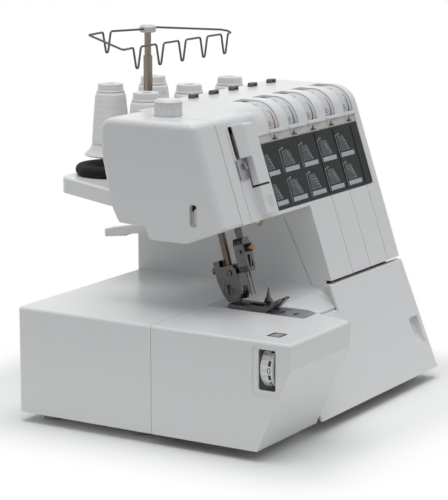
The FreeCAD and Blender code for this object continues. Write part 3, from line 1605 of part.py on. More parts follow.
def rounded_path(points, radius):
    """Straight runs joined by tangent arcs."""
    edges = []
    start = points[0]
    for before, corner, after in zip(points, points[1:], points[2:]):
        half = (before - corner).getAngle(after - corner) / 2
        room = 0.45 * min((before - corner).Length, (after - corner).Length)
        fit = min(radius, room * math.tan(half))
        first, last, centre = corner_arc(before, corner, after, fit)
        middle = centre + (corner - centre).normalize() * fit
        edges.append(Part.LineSegment(start, first).toShape())
        edges.append(Part.Arc(first, middle, last).toShape())
        start = last
    edges.append(Part.LineSegment(start, points[-1]).toShape())
    return Part.Wire(edges)


def thread_guide_wire():
    """One bent wire with a dip for each thread, held at both ends by the mast cap."""
    points = guide_route()
    path = rounded_path(points, 3)
    heading = (points[1] - points[0]).normalize()
    ring = Part.Circle(points[0], heading, size.wire_size.value / 2).toShape()
    skin = [Part.Face(Part.Wire([ring]))]
    for edge in path.Edges:
        if isinstance(edge.Curve, Part.Circle):
            centre = edge.Curve.Center
            axis = edge.Curve.Axis
            angle = math.degrees(edge.LastParameter - edge.FirstParameter)
            skin.append(ring.revolve(centre, axis, angle))
            ring = ring.rotated(centre, axis, angle)
        else:
            run = edge.valueAt(edge.LastParameter) - edge.valueAt(edge.FirstParameter)
            skin.append(ring.extrude(run))
            ring = ring.translated(run)
    skin.append(Part.Face(Part.Wire([ring])))
    shell = Part.Shell(skin)
    shell.sewShape()
    item = doc.addObject("Part::Feature", "thread_guide_wire")
    item.Shape = Part.Solid(shell)
    seat(item, size.mast_x, size.mast_y)
    subpart(item, "thread_guide_wire")


def housing_screws():
    """Pan-head screws of the rear shell."""
    heads = []
    left = size.column_left + 14
    right = size.body_width - 14
    low = size.foot_height + 20
    high = size.column_step - 16
    for i, (x, z) in enumerate(((left, low), (right, low), (left, high), (right, high))):
        head = loose_body(f"rear_screw_{i}")
        back = size.bed_back
        add(head, "Y", back, back + 2.2, (x, z, 4))
        cut(head, "Y", back + 1, back + 2.2, rectangle(x - 2.6, z - 0.5, x + 2.6, z + 0.5))
        seat(head)
        heads.append(head)
    group("housing_screws", heads)


def main():
    builders = (base_pan, rubber_feet, bed_rear_cover, throat_deck, free_arm, chassis, plain_bearings,
                front_housing, rear_housing, face_cover, thread_cutter, right_end_cover, looper_cover,
                cover_hinge_rod, extension_table, needle_plate, feed_dog, needle_bar, needle_clamp, needles,
                presser_bar, foot_holder, presser_foot, presser_lifter, pressure_knob, tension_dials,
                thread_chart_panel, takeup_guard, takeup_latch, takeup_plate, tension_thread_guides,
                top_thread_guides, work_lamp, stitch_length_dial, loopers, main_shaft, handwheel, belt_wheel,
                motor, motor_pulley, drive_belt, needle_rocker, power_inlet, power_switch, switch_frame,
                spool_tray, spool_stand, thread_mast, thread_guide_wire, housing_screws)
    for builder in builders:
        builder()
    doc.recompute()
    for item in doc.Objects:
        if "Invalid" in item.State or "Error" in item.State:
            raise RuntimeError(f"{item.Label} failed: {item.State}")
    for item in subparts:
        if item.Shape.isNull() or not item.Shape.isValid():
            raise RuntimeError(f"{item.Label} has no valid shape")
    os.makedirs("parts", exist_ok=True)
    for item in subparts:
        item.Shape.exportStep(f"parts/{item.Label}.step")
        print(f"{item.Label}: {len(item.Shape.Solids)} solids, {item.Shape.Volume:.0f} mm3")


main()
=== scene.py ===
"""Looks of the serger overlock machine: camera, light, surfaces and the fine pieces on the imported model."""
import bpy
import bmesh
import json
import math
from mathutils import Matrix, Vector
from mathutils.bvhtree import BVHTree


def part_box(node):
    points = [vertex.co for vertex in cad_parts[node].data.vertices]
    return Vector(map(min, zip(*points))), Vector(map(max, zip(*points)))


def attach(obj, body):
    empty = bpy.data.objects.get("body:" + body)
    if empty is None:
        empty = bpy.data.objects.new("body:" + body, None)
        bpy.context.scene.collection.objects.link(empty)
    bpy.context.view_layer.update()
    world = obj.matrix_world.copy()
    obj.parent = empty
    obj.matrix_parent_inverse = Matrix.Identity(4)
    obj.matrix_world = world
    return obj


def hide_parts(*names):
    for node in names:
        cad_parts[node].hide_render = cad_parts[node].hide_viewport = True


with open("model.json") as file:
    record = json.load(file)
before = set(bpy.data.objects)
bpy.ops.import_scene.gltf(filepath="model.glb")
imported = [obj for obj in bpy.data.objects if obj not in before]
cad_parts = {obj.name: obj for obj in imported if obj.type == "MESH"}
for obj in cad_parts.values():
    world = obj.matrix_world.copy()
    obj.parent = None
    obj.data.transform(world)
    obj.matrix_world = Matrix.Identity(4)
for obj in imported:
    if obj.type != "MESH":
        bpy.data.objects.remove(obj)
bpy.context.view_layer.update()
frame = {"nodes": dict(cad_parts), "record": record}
nodes = frame["nodes"]
scene = bpy.context.scene
scene.view_settings.view_transform = "Standard"

# The photograph's camera: place, direction and focal length, in the model's frame
CAMERA_PLACE = Vector((-1.789, -1.0958, 0.5629))
CAMERA_LOOK = Vector((0.8379, 0.5101, -0.1941))
CAMERA_LENS = 152.19

# Machine sizes in millimetres, measured from the table's left front corner on the floor
FOOTPRINT_MIDDLE = (195.0, 195.0)
FRONT_LEAN = math.radians(18.5)
FRONT_FOOT_Y = 74.0
FRONT_FOOT_Z = 126.0
PANEL_LOW = 203.0
PANEL_HIGH = 266.4
PANEL_LEFT = 152.0
PANEL_RIGHT = 350.0
PANEL_INSET = 0.6
LEDGE_HIGH = 274.5
LEDGE_DEPTH = 1.1
DIAL_FIRST = 186.0
DIAL_PITCH = 38.5
SLOT_SHIFT = -5.0
SLOT_WIDTH = 2.4
SPOOL_FIRST = 187.0
SPOOL_PITCH = 82.0
SPOOL_FRONT = 276.0
ROW_PITCH = 75.0
ROW_SHIFT = 46.0
TRAY_TOP = 207.5
CUSHION_RADIUS = 38.0
CUSHION_THICK = 12.0
CUSHION_EDGE = 5.0
PIN_BORE = 3.3
CONE_BORE = 5.0
CONE_HEIGHT = 84.5
PRINT_LIFT = 0.05
WALL = 2.5
TABLE_TOP = 114.0
COLUMN_LEFT = 212.0
COVER_LEFT = 127.0
COVER_FOOT = 28.6
COVER_LOW = 12.0
COVER_LEAN = math.radians(22.0)
SCOOP_TOP = 97.5
DECK_PATH = ((149.4, 114.0), (91.2, 114.0), (87.6, 113.2), (84.4, 111.8), (76.0, 106.6), (68.2, 101.7))
HEAD_TOP = 297.0
DIAL_TOP = 303.0
DIAL_LEFT = 155.0
ROLL_RADIUS = 27.0
ROLL_MIDDLE = 152.6
GUARD_LEFT = 118.5
GUARD_RIGHT = 139.5
GUARD_LOW = 232.0
GUARD_PROUD = 8.0
WING_LOW = 258.5
FACE_SEAM = 82.0
CHIN = 200.0
CHIN_FRONT = 98.8
JAW = 183.5
JAW_FRONT = 141.0
RECESS_SEAM = 98.6
WHEEL_MIDDLE = (21.3, 26.0, 87.5)
WHEEL_RADIUS = 20.5
PLATE_SLOTS = ((107.6, 56.0, 116.0, 59.6), (109.2, 70.6, 117.0, 74.2), (122.4, 69.0, 125.0, 79.0))

# Edges sharper than this angle stay sharp
SMOOTH_ANGLE = math.radians(35)

# Soft box, floor tones and brightness of the surround
LAMP_PLACE = (-0.2, -0.05, 3.2)
LAMP_TARGET = (0, 0, 0.1)
LAMP_POWER = 53
LAMP_SIZE = 2.6
PAPER = (0.93, 0.93, 0.92)
STUDIO_FLOOR = (0.22, 0.22, 0.22)
SURROUND_LOW = 0.2
SURROUND_HIGH = 0.62


def at(x, y, z):
    """Machine millimetres to the model's frame in metres."""
    return Vector(((x - FOOTPRINT_MIDDLE[0]) / 1000, (y - FOOTPRINT_MIDDLE[1]) / 1000, z / 1000))


def on_front(x, up, proud, low=PANEL_LOW):
    """A point on the leaning front: up the slope from a height, and proud of it."""
    y = FRONT_FOOT_Y + (low - FRONT_FOOT_Z) * math.tan(FRONT_LEAN)
    y += up * math.sin(FRONT_LEAN) - proud * math.cos(FRONT_LEAN)
    z = low + up * math.cos(FRONT_LEAN) + proud * math.sin(FRONT_LEAN)
    return at(x, y, z)


def cover_at(z, deep=0.0):
    """Depth of the looper cover's leaning face at a height, or of a plane behind it."""
    return COVER_FOOT + (z - COVER_LOW) * math.tan(COVER_LEAN) + deep / math.cos(COVER_LEAN)


def up_front(low, high):
    """Length of the slope between two heights."""
    return (high - low) / math.cos(FRONT_LEAN)


def slot_x(column):
    return DIAL_FIRST + DIAL_PITCH * column + SLOT_SHIFT


# Camera, light and floor


def add_camera():
    data = bpy.data.cameras.new("camera")
    data.lens = CAMERA_LENS
    data.sensor_width = 36.0
    camera = bpy.data.objects.new("camera", data)
    camera.location = CAMERA_PLACE
    camera.rotation_mode = "QUATERNION"
    camera.rotation_quaternion = CAMERA_LOOK.to_track_quat("-Z", "Y")
    scene.collection.objects.link(camera)
    scene.camera = camera


def add_lamp(name, place, target, power, size):
    data = bpy.data.lights.new(name, "AREA")
    data.energy = power
    data.size = size
    lamp = bpy.data.objects.new(name, data)
    lamp.location = place
    lamp.rotation_mode = "QUATERNION"
    lamp.rotation_quaternion = (Vector(target) - Vector(place)).to_track_quat("-Z", "Y")
    scene.collection.objects.link(lamp)


def add_light():
    """A broad soft box above and a pale surround that is brighter towards the top."""
    add_lamp("top_box", LAMP_PLACE, LAMP_TARGET, LAMP_POWER, LAMP_SIZE)
    world = bpy.data.worlds.new("surround")
    scene.world = world
    world.use_nodes = True
    tree = world.node_tree
    tree.nodes.clear()
    output = tree.nodes.new("ShaderNodeOutputWorld")
    seen = tree.nodes.new("ShaderNodeBackground")
    seen.inputs["Color"].default_value = (1, 1, 1, 1)
    seen.inputs["Strength"].default_value = 1.0
    fill = tree.nodes.new("ShaderNodeBackground")
    fill.inputs["Color"].default_value = (0.95, 0.97, 1.0, 1)
    heading = tree.nodes.new("ShaderNodeTexCoord")
    parts = tree.nodes.new("ShaderNodeSeparateXYZ")
    tree.links.new(heading.outputs["Generated"], parts.inputs["Vector"])
    level = tree.nodes.new("ShaderNodeMapRange")
    level.inputs["To Min"].default_value = SURROUND_LOW
    level.inputs["To Max"].default_value = SURROUND_HIGH
    tree.links.new(parts.outputs["Z"], level.inputs["Value"])
    tree.links.new(level.outputs["Result"], fill.inputs["Strength"])
    mix = tree.nodes.new("ShaderNodeMixShader")
    tree.links.new(direct_ray(tree), mix.inputs[0])
    tree.links.new(fill.outputs[0], mix.inputs[1])
    tree.links.new(seen.outputs[0], mix.inputs[2])
    tree.links.new(mix.outputs[0], output.inputs["Surface"])


def direct_ray(tree):
    """One where the camera, a mirror image or glass shows the surround, zero where it only lights."""
    path = tree.nodes.new("ShaderNodeLightPath")
    total = path.outputs["Is Camera Ray"]
    for name in ("Is Glossy Ray", "Is Transmission Ray"):
        total = math_node(tree, "MAXIMUM", total, path.outputs[name])
    return total


def add_floor():
    """White paper that keeps the shadow near the machine and fades into the white surround."""
    mesh = bpy.data.meshes.new("floor")
    half = 6.0
    corners = [(-half, -half, 0), (half, -half, 0), (half, half, 0), (-half, half, 0)]
    mesh.from_pydata(corners, [], [(0, 1, 2, 3)])
    floor = bpy.data.objects.new("floor", mesh)
    scene.collection.objects.link(floor)
    paper = bpy.data.materials.new("floor_paper")
    paper.use_nodes = True
    tree = paper.node_tree
    shader = tree.nodes["Principled BSDF"]
    shader.inputs["Roughness"].default_value = 0.9
    shader.inputs["Specular IOR Level"].default_value = 0.1
    glow = tree.nodes.new("ShaderNodeEmission")
    glow.inputs["Color"].default_value = (1, 1, 1, 1)
    glow.inputs["Strength"].default_value = 1.0
    outside = footprint_distance(tree)
    far = ramp(tree, outside, 0.2, 0.7)
    tree.links.new(blend_colors(tree, far, PAPER, STUDIO_FLOOR), shader.inputs["Base Color"])
    amount = math_node(tree, "MULTIPLY", ramp(tree, outside, 0.015, 0.1), direct_ray(tree))
    mix = tree.nodes.new("ShaderNodeMixShader")
    tree.links.new(amount, mix.inputs[0])
    tree.links.new(shader.outputs[0], mix.inputs[1])
    tree.links.new(glow.outputs[0], mix.inputs[2])
    tree.links.new(mix.outputs[0], tree.nodes["Material Output"].inputs["Surface"])
    mesh.materials.append(paper)


def footprint_distance(tree):
    """How far a point of the floor lies outside the machine's footprint, in metres."""
    place = tree.nodes.new("ShaderNodeTexCoord")
    reach = place.outputs["Object"]
    half = [size / 1000 for size in FOOTPRINT_MIDDLE] + [1.0]
    for operation, amount in (("ABSOLUTE", None), ("SUBTRACT", half), ("MAXIMUM", (0, 0, 0))):
        step = tree.nodes.new("ShaderNodeVectorMath")
        step.operation = operation
        tree.links.new(reach, step.inputs[0])
        if amount:
            step.inputs[1].default_value = amount
        reach = step.outputs["Vector"]
    length = tree.nodes.new("ShaderNodeVectorMath")
    length.operation = "LENGTH"
    tree.links.new(reach, length.inputs[0])
    return length.outputs["Value"]


def ramp(tree, value, low, high):
    """Zero below a value, one above another, smooth between."""
    node = tree.nodes.new("ShaderNodeMapRange")
    node.interpolation_type = "SMOOTHSTEP"
    node.inputs["From Min"].default_value = low
    node.inputs["From Max"].default_value = high
    tree.links.new(value, node.inputs["Value"])
    return node.outputs["Result"]


# Surfaces


def math_node(tree, operation, first, second):
    """A math node on two sockets or a socket and a number."""
    node = tree.nodes.new("ShaderNodeMath")
    node.operation = operation
    for slot, value in zip(node.inputs, (first, second)):
        if isinstance(value, (int, float)):
            slot.default_value = value
        else:
            tree.links.new(value, slot)
    return node.outputs[0]


def noise(tree, scale, detail=2.0, stretch=(1, 1, 1)):
    """Noise in the object's own coordinates, drawn out along an axis where stretch is small."""
    place = tree.nodes.new("ShaderNodeTexCoord")
    mapping = tree.nodes.new("ShaderNodeMapping")
    mapping.inputs["Scale"].default_value = stretch
    tree.links.new(place.outputs["Object"], mapping.inputs["Vector"])
    texture = tree.nodes.new("ShaderNodeTexNoise")
    texture.inputs["Scale"].default_value = scale
    texture.inputs["Detail"].default_value = detail
    tree.links.new(mapping.outputs["Vector"], texture.inputs["Vector"])
    return texture.outputs["Fac"]


def blend_colors(tree, factor, first, second):
    mix = tree.nodes.new("ShaderNodeMix")
    mix.data_type = "RGBA"
    mix.inputs["A"].default_value = (*first, 1)
    mix.inputs["B"].default_value = (*second, 1)
    tree.links.new(factor, mix.inputs["Factor"])
    return mix.outputs["Result"]


def add_relief(tree, shader, height, strength, distance):
    relief = tree.nodes.new("ShaderNodeBump")
    relief.inputs["Strength"].default_value = strength
    relief.inputs["Distance"].default_value = distance
    tree.links.new(height, relief.inputs["Height"])
    tree.links.new(relief.outputs["Normal"], shader.inputs["Normal"])


def uneven_gloss(tree, shader, pattern, roughness, spread):
    gloss = tree.nodes.new("ShaderNodeMapRange")
    gloss.inputs["To Min"].default_value = roughness * (1 - spread)
    gloss.inputs["To Max"].default_value = roughness * (1 + spread)
    tree.links.new(pattern, gloss.inputs["Value"])
    tree.links.new(gloss.outputs["Result"], shader.inputs["Roughness"])


def new_finish(name):
    paint = bpy.data.materials.new(name)
    paint.use_nodes = True
    return paint, paint.node_tree, paint.node_tree.nodes["Principled BSDF"]


def moulded(name, color, roughness, grain=0.08, grain_size=400.0, mottle=0.04, coat=0.0, shine=0.5):
    """Moulded plastic or rubber: slight mottle, uneven gloss and a fine grain in the relief."""
    paint, tree, shader = new_finish(name)
    shader.inputs["Specular IOR Level"].default_value = shine
    shader.inputs["Coat Weight"].default_value = coat
    shader.inputs["Coat Roughness"].default_value = 0.1
    broad = noise(tree, 18.0, 3.0)
    dark = tuple(c * (1 - mottle) for c in color)
    tree.links.new(blend_colors(tree, broad, dark, color), shader.inputs["Base Color"])
    uneven_gloss(tree, shader, broad, roughness, 0.15)
    add_relief(tree, shader, noise(tree, grain_size), grain, 0.0004)
    return paint


def brushed(name, color, roughness, stretch=(1, 1, 0.06), streak=0.25, dark=None):
    """Drawn or ground metal: streaks along one axis in colour, gloss and relief."""
    paint, tree, shader = new_finish(name)
    shader.inputs["Metallic"].default_value = 1.0
    lines = noise(tree, 900.0, 3.0, stretch)
    shade = dark or tuple(c * (1 - streak) for c in color)
    tree.links.new(blend_colors(tree, lines, shade, color), shader.inputs["Base Color"])
    uneven_gloss(tree, shader, lines, roughness, 0.3)
    add_relief(tree, shader, lines, 0.12, 0.0002)
    return paint


def stepped_metal(name, lower, upper, height):
    """Ground metal in a lit lower tone, and darker above a height as painted shade."""
    paint, tree, shader = new_finish(name)
    shader.inputs["Metallic"].default_value = 1.0
    lines = noise(tree, 900.0, 3.0, (1, 1, 0.06))
    place = tree.nodes.new("ShaderNodeTexCoord")
    parts = tree.nodes.new("ShaderNodeSeparateXYZ")
    tree.links.new(place.outputs["Object"], parts.inputs["Vector"])
    mix = tree.nodes.new("ShaderNodeMix")
    mix.data_type = "RGBA"
    tones = [blend_colors(tree, lines, tuple(c * 0.7 for c in color), color) for color in (lower, upper)]
    tree.links.new(ramp(tree, parts.outputs["Z"], height - 0.0004, height + 0.0004), mix.inputs["Factor"])
    tree.links.new(tones[0], mix.inputs["A"])
    tree.links.new(tones[1], mix.inputs["B"])
    tree.links.new(mix.outputs["Result"], shader.inputs["Base Color"])
    uneven_gloss(tree, shader, lines, 0.34, 0.3)
    add_relief(tree, shader, lines, 0.12, 0.0002)
    return paint


def cast(name, color):
    """Raw casting: coarse sand grain."""
    paint, tree, shader = new_finish(name)
    shader.inputs["Metallic"].default_value = 0.85
    grains = noise(tree, 600.0, 4.0)
    dark = tuple(c * 0.7 for c in color)
    tree.links.new(blend_colors(tree, grains, dark, color), shader.inputs["Base Color"])
    uneven_gloss(tree, shader, grains, 0.55, 0.2)
    add_relief(tree, shader, grains, 0.5, 0.0005)
    return paint


def foam(name, color):
    """Black foam: open cells of about a millimetre over a soft sheen."""
    paint, tree, shader = new_finish(name)
    shader.inputs["Sheen Weight"].default_value = 0.08
    shader.inputs["Specular IOR Level"].default_value = 0.15
    shader.inputs["Sheen Roughness"].default_value = 0.6
    place = tree.nodes.new("ShaderNodeTexCoord")
    cells = tree.nodes.new("ShaderNodeTexVoronoi")
    cells.inputs["Scale"].default_value = 900.0
    tree.links.new(place.outputs["Object"], cells.inputs["Vector"])
    light = tuple(c * 2.2 for c in color)
    tree.links.new(blend_colors(tree, cells.outputs["Distance"], color, light), shader.inputs["Base Color"])
    uneven_gloss(tree, shader, cells.outputs["Distance"], 0.85, 0.1)
    add_relief(tree, shader, cells.outputs["Distance"], 0.7, 0.0006)
    return paint


def wound(name, color):
    """Wound thread: two crossing sets of fine turns about the cone's axis."""
    paint, tree, shader = new_finish(name)
    shader.inputs["Sheen Weight"].default_value = 0.3
    place = tree.nodes.new("ShaderNodeTexCoord")
    turns = None
    for tilt in (-0.12, 0.12):
        mapping = tree.nodes.new("ShaderNodeMapping")
        mapping.inputs["Rotation"].default_value = (tilt, tilt * 0.6, 0)
        tree.links.new(place.outputs["Object"], mapping.inputs["Vector"])
        wave = tree.nodes.new("ShaderNodeTexWave")
        wave.bands_direction = "Z"
        wave.inputs["Scale"].default_value = 330.0
        wave.inputs["Distortion"].default_value = 0.8
        wave.inputs["Detail"].default_value = 1.0
        tree.links.new(mapping.outputs["Vector"], wave.inputs["Vector"])
        height = wave.outputs["Fac"]
        turns = height if turns is None else math_node(tree, "MAXIMUM", turns, height)
    dark = tuple(c * 0.95 for c in color)
    tree.links.new(blend_colors(tree, turns, dark, color), shader.inputs["Base Color"])
    uneven_gloss(tree, shader, turns, 0.6, 0.2)
    add_relief(tree, shader, turns, 0.25, 0.0003)
    return paint


def ink(name, color, wear=0.25):
    """Printed ink, a little thin in places."""
    paint, tree, shader = new_finish(name)
    patches = noise(tree, 700.0, 3.0)
    thin = tuple(c * (1 - wear) for c in color)
    tree.links.new(blend_colors(tree, patches, thin, color), shader.inputs["Base Color"])
    uneven_gloss(tree, shader, patches, 0.5, 0.2)
    return paint


WHITE = moulded("white_plastic", (0.78, 0.785, 0.785), 0.3, grain=0.06, mottle=0.012, coat=0.1)
PALE_GREY = moulded("pale_grey_plastic", (0.7, 0.71, 0.71), 0.36, grain=0.1)
# Beige tint of the ledge, darker than the housing as painted shade of the recess
LEDGE_TINT_AND_SHADE = moulded("ledge_tint_and_painted_shade", (0.6, 0.58, 0.54), 0.45, grain=0.12)
DARK_PANEL = moulded("dark_panel", (0.028, 0.033, 0.031), 0.5, grain=0.05, mottle=0.12, shine=0.14)
BLACK = moulded("black_plastic", (0.016, 0.016, 0.017), 0.5, grain=0.2, shine=0.25)
RUBBER = moulded("rubber", (0.3, 0.3, 0.3), 0.7, grain=0.3)
DIAL_GREY = moulded("dial_grey", (0.66, 0.67, 0.68), 0.34, grain=0.1)
LENS = moulded("lamp_lens", (0.8, 0.79, 0.74), 0.2, grain=0.2, grain_size=900.0)
STEEL = brushed("steel", (0.4, 0.385, 0.37), 0.26)
PLATE_STEEL = brushed("plate_steel", (0.74, 0.76, 0.84), 0.32, stretch=(1, 0.06, 1))
DARK_STEEL = brushed("dark_steel", (0.16, 0.13, 0.105), 0.28, dark=(0.05, 0.04, 0.032))
GUN_METAL = brushed("gun_metal", (0.15, 0.145, 0.145), 0.3, dark=(0.06, 0.057, 0.057))
MAST_METAL = brushed("mast_metal", (0.33, 0.285, 0.24), 0.36, dark=(0.15, 0.125, 0.105))
WIRE_METAL = brushed("wire_metal", (0.13, 0.125, 0.12), 0.38, stretch=(0.06, 1, 1))
# Take-up plate: lighter below the guard's wing, dark above it as painted shade under the wing
TAKEUP_METAL_SHADED = stepped_metal("takeup_metal_painted_shade", (0.36, 0.36, 0.4), (0.07, 0.068, 0.066), 0.2585)
BRASS = brushed("brass", (0.3, 0.2, 0.12), 0.34, dark=(0.12, 0.075, 0.045))
BEIGE = moulded("beige_plastic", (0.4, 0.33, 0.24), 0.45, grain=0.15)
SEAM_INK = moulded("seam_shadow", (0.11, 0.11, 0.11), 0.7, grain=0.1, shine=0.1)
BRONZE = brushed("bronze", (0.5, 0.34, 0.18), 0.35, stretch=(0.06, 1, 1))
CASTING = cast("casting", (0.5, 0.5, 0.5))
FOAM = foam("foam", (0.009, 0.008, 0.0076))
THREAD = wound("thread", (0.96, 0.955, 0.945))

SLOT_FINISHES = {
    "white_plastic": WHITE,
    "grey_plastic": PALE_GREY,
    "dark_panel": DARK_PANEL,
    "black_plastic": BLACK,
    "rubber": RUBBER,
    "foam": FOAM,
    "thread": THREAD,
    "casting": CASTING,
    "steel": STEEL,
    "bronze": BRONZE,
    "mast_plastic": PALE_GREY,
    "lens": LENS,
    "dial_grey": DIAL_GREY,
}
NODE_FINISHES = {
    "spool_tray": WHITE,
    "pressure_knob": WHITE,
    "free_arm": WHITE,
    "presser_lifter": WHITE,
    "base_pan": PALE_GREY,
    "foot_holder": GUN_METAL,
    "needle_clamp": GUN_METAL,
    "presser_foot": GUN_METAL,
    "stitch_length_dial": WHITE,
    "needle_plate": PLATE_STEEL,
    "takeup_plate": TAKEUP_METAL_SHADED,
    "presser_bar": DARK_STEEL,
    "needle_bar": DARK_STEEL,
    "needles": DARK_STEEL,
    "tension_thread_guides": GUN_METAL,
    "top_thread_guides": GUN_METAL,
    "mast_lower_tube": MAST_METAL,
    "mast_upper_tube": MAST_METAL,
    "thread_guide_wire": WIRE_METAL,
}


def paint_nodes():
    for part in frame["record"]["subparts"]:
        mesh = nodes[part["node"]].data
        mesh.materials.clear()
        mesh.materials.append(NODE_FINISHES.get(part["node"], SLOT_FINISHES[part["material_slot"]]))


# Pieces


def new_piece(name, bm, finish, body, place=(0, 0, 0)):
    """A mesh piece in its finish that rides on a body."""
    mesh = bpy.data.meshes.new(name)
    bm.to_mesh(mesh)
    bm.free()
    for face in mesh.polygons:
        face.use_smooth = True
    mesh.set_sharp_from_angle(angle=SMOOTH_ANGLE)
    piece = bpy.data.objects.new(name, mesh)
    piece.location = place
    mesh.materials.append(finish)
    scene.collection.objects.link(piece)
    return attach(piece, body)


def revolve(bm, profile, steps=72, ripple=None):
    """Turn a closed loop of (radius, height) points in millimetres about Z; ripple changes the radius."""
    rings = []
    for radius, height in profile:
        ring = []
        for i in range(steps):
            angle = math.tau * i / steps
            reach = radius + ripple(angle, radius, height) if ripple else radius
            point = (reach * math.cos(angle) / 1000, reach * math.sin(angle) / 1000, height / 1000)
            ring.append(bm.verts.new(point))
        rings.append(ring)
    for low, high in zip(rings, rings[1:] + rings[:1]):
        for i in range(steps):
            j = (i + 1) % steps
            bm.faces.new((low[i], low[j], high[j], high[i]))
    bmesh.ops.recalc_face_normals(bm, faces=bm.faces)


def arc_points(centre, radius, start, end, count):
    """Points of an arc in a profile, angles in degrees."""
    points = []
    for i in range(count):
        angle = math.radians(start + (end - start) * i / (count - 1))
        points.append((centre[0] + radius * math.cos(angle), centre[1] + radius * math.sin(angle)))
    return points


def spool_places():
    """Middle of each spool: three in front, two behind them in the gaps."""
    front = [(SPOOL_FIRST + SPOOL_PITCH * i, SPOOL_FRONT) for i in range(3)]
    back = [(SPOOL_FIRST + ROW_SHIFT + SPOOL_PITCH * i, SPOOL_FRONT + ROW_PITCH) for i in range(2)]
    return front + back


def add_foam_discs():
    """Foam discs under the cones: crowned top, rounded uneven rim, flat where they rest on the tray."""
    for i, (x, y) in enumerate(spool_places(), start=1):
        rim = CUSHION_RADIUS - CUSHION_EDGE
        profile = [(PIN_BORE, 0.05), (20, 0.05)]
        profile += arc_points((rim, CUSHION_EDGE), CUSHION_EDGE, -90, 0, 7)
        profile += arc_points((rim, CUSHION_THICK - CUSHION_EDGE - 0.7), CUSHION_EDGE, 0, 90, 7)
        profile += [(26, CUSHION_THICK - 0.35), (18, CUSHION_THICK - 0.12), (10, CUSHION_THICK - 0.05)]
        profile += [(PIN_BORE, CUSHION_THICK - 0.05)]
        bm = bmesh.new()
        revolve(bm, profile, 96, foam_ripple(i))
        disc = new_piece(f"foam_disc_{i}", bm, FOAM, "machine", at(x, y, TRAY_TOP))
        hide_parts("spool_cushions")


def foam_ripple(turn):
    """Slight unevenness of a cut foam rim, different on each disc."""

    def change(angle, radius, height):
        if radius < CUSHION_RADIUS - 6:
            return 0
        return -0.15 + 0.12 * math.sin(3 * angle + turn) + 0.06 * math.sin(11 * angle + 2 * turn)

    return change


def add_cones():
    """Thread cones: a flared white core with its cap, and the wound thread between them."""
    for i, (x, y) in enumerate(spool_places(), start=1):
        place = at(x, y, TRAY_TOP + CUSHION_THICK)
        bm = bmesh.new()
        revolve(bm, core_profile())
        cone = new_piece(f"cone_core_{i}", bm, WHITE, "machine", place)
        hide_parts("thread_cones")
        bm = bmesh.new()
        revolve(bm, winding_profile())
        winding = new_piece(f"cone_winding_{i}", bm, THREAD, "machine", place)
        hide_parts("thread_cones")


def core_profile():
    """Core of a cone: sleeve, flared flange, slender stem and cap."""
    sleeve = [(CONE_BORE, 0), (8.6, 0), (9, 0.5), (9, 4.5)]
    flange = [(26.8, 8.3), (28, 8.9), (28.3, 9.7), (27.9, 10.4), (25.2, 12.6), (22.4, 16), (20.2, 20.4)]
    stem = [(17, 21), (12, 74)]
    cap = [(14.6, 75.8), (14.7, 76.8), (13.9, 77.4), (13.6, 78.2), (13.2, 83.2), (12.6, 84.2)]
    top = [(11.6, CONE_HEIGHT), (CONE_BORE + 1, CONE_HEIGHT), (CONE_BORE, CONE_HEIGHT - 0.8)]
    return sleeve + flange + stem + cap + top


def winding_profile():
    """Wound thread on a cone: slightly barrelled, with soft bands and rounded ends."""
    low, high = 20.6, 75.4
    outer = []
    rows = 44
    for i in range(rows + 1):
        share = i / rows
        radius = 20.3 - 4.6 * share + 0.35 * math.sin(math.pi * share)
        radius += 0.1 * math.sin(share * 60)
        end = min(share, 1 - share) * rows
        radius -= 1.3 * max(0, 1 - end / 3) ** 2
        outer.append((radius, low + (high - low) * share))
    return [(12, low)] + outer + [(12, high)]


# Fitted pieces


def add_loft(bm, loops):
    """A closed solid through loops of points of the same count."""
    rings = [[bm.verts.new(point) for point in loop] for loop in loops]
    bm.faces.new(rings[0][::-1])
    bm.faces.new(rings[-1])
    count = len(rings[0])
    for low, high in zip(rings, rings[1:]):
        for i in range(count):
            j = (i + 1) % count
            bm.faces.new((low[i], low[j], high[j], high[i]))
    bmesh.ops.recalc_face_normals(bm, faces=bm.faces)


def soften(bm, size):
    """Round every edge by a small size in millimetres."""
    bmesh.ops.bevel(bm, geom=list(bm.edges), offset=size / 1000, segments=2, profile=0.5, affect="EDGES")


def rounded(left, front, right, back, radius, steps=5):
    """Flat points of a rectangle with round corners."""
    points = []
    corners = ((right - radius, back - radius, 0), (left + radius, back - radius, 90),
               (left + radius, front + radius, 180), (right - radius, front + radius, 270))
    for u, v, start in corners:
        points += arc_points((u, v), radius, start, start + 90, steps)
    return points


def add_throat_cheek():
    """Inner cheek that closes the corner between throat, column and looper cover."""
    low, high = 99.0, 119.2
    outline = [(cover_at(low, WALL + 1), low), (cover_at(high, WALL + 1), high), (80.4, high), (80.4, 125.6),
               (83.0, 125.6), (83.0, low)]
    bm = bmesh.new()
    add_loft(bm, [[at(x, y, z) for y, z in outline] for x in (COLUMN_LEFT + 0.05, COLUMN_LEFT + 2.2)])
    soften(bm, 0.4)
    new_piece("throat_cheek", bm, WHITE, "machine")


def add_throat_fillet():
    """Hollow fillet along the foot of the column, from the back of the throat over its rolled front."""
    radius = 4.5
    inner = COLUMN_LEFT - radius
    bm = bmesh.new()
    loops = []
    for y, z in DECK_PATH:
        loop = [at(COLUMN_LEFT + 0.04, y, z - 0.4), at(COLUMN_LEFT + 0.04, y, z + radius)]
        for u, w in arc_points((inner, z + radius), radius, -10, -90, 7):
            loop.append(at(u, y, w + 0.03))
        loop.append(at(inner - 0.3, y, z - 0.4))
        loops.append(loop)
    add_loft(bm, loops)
    new_piece("throat_fillet", bm, WHITE, "machine")


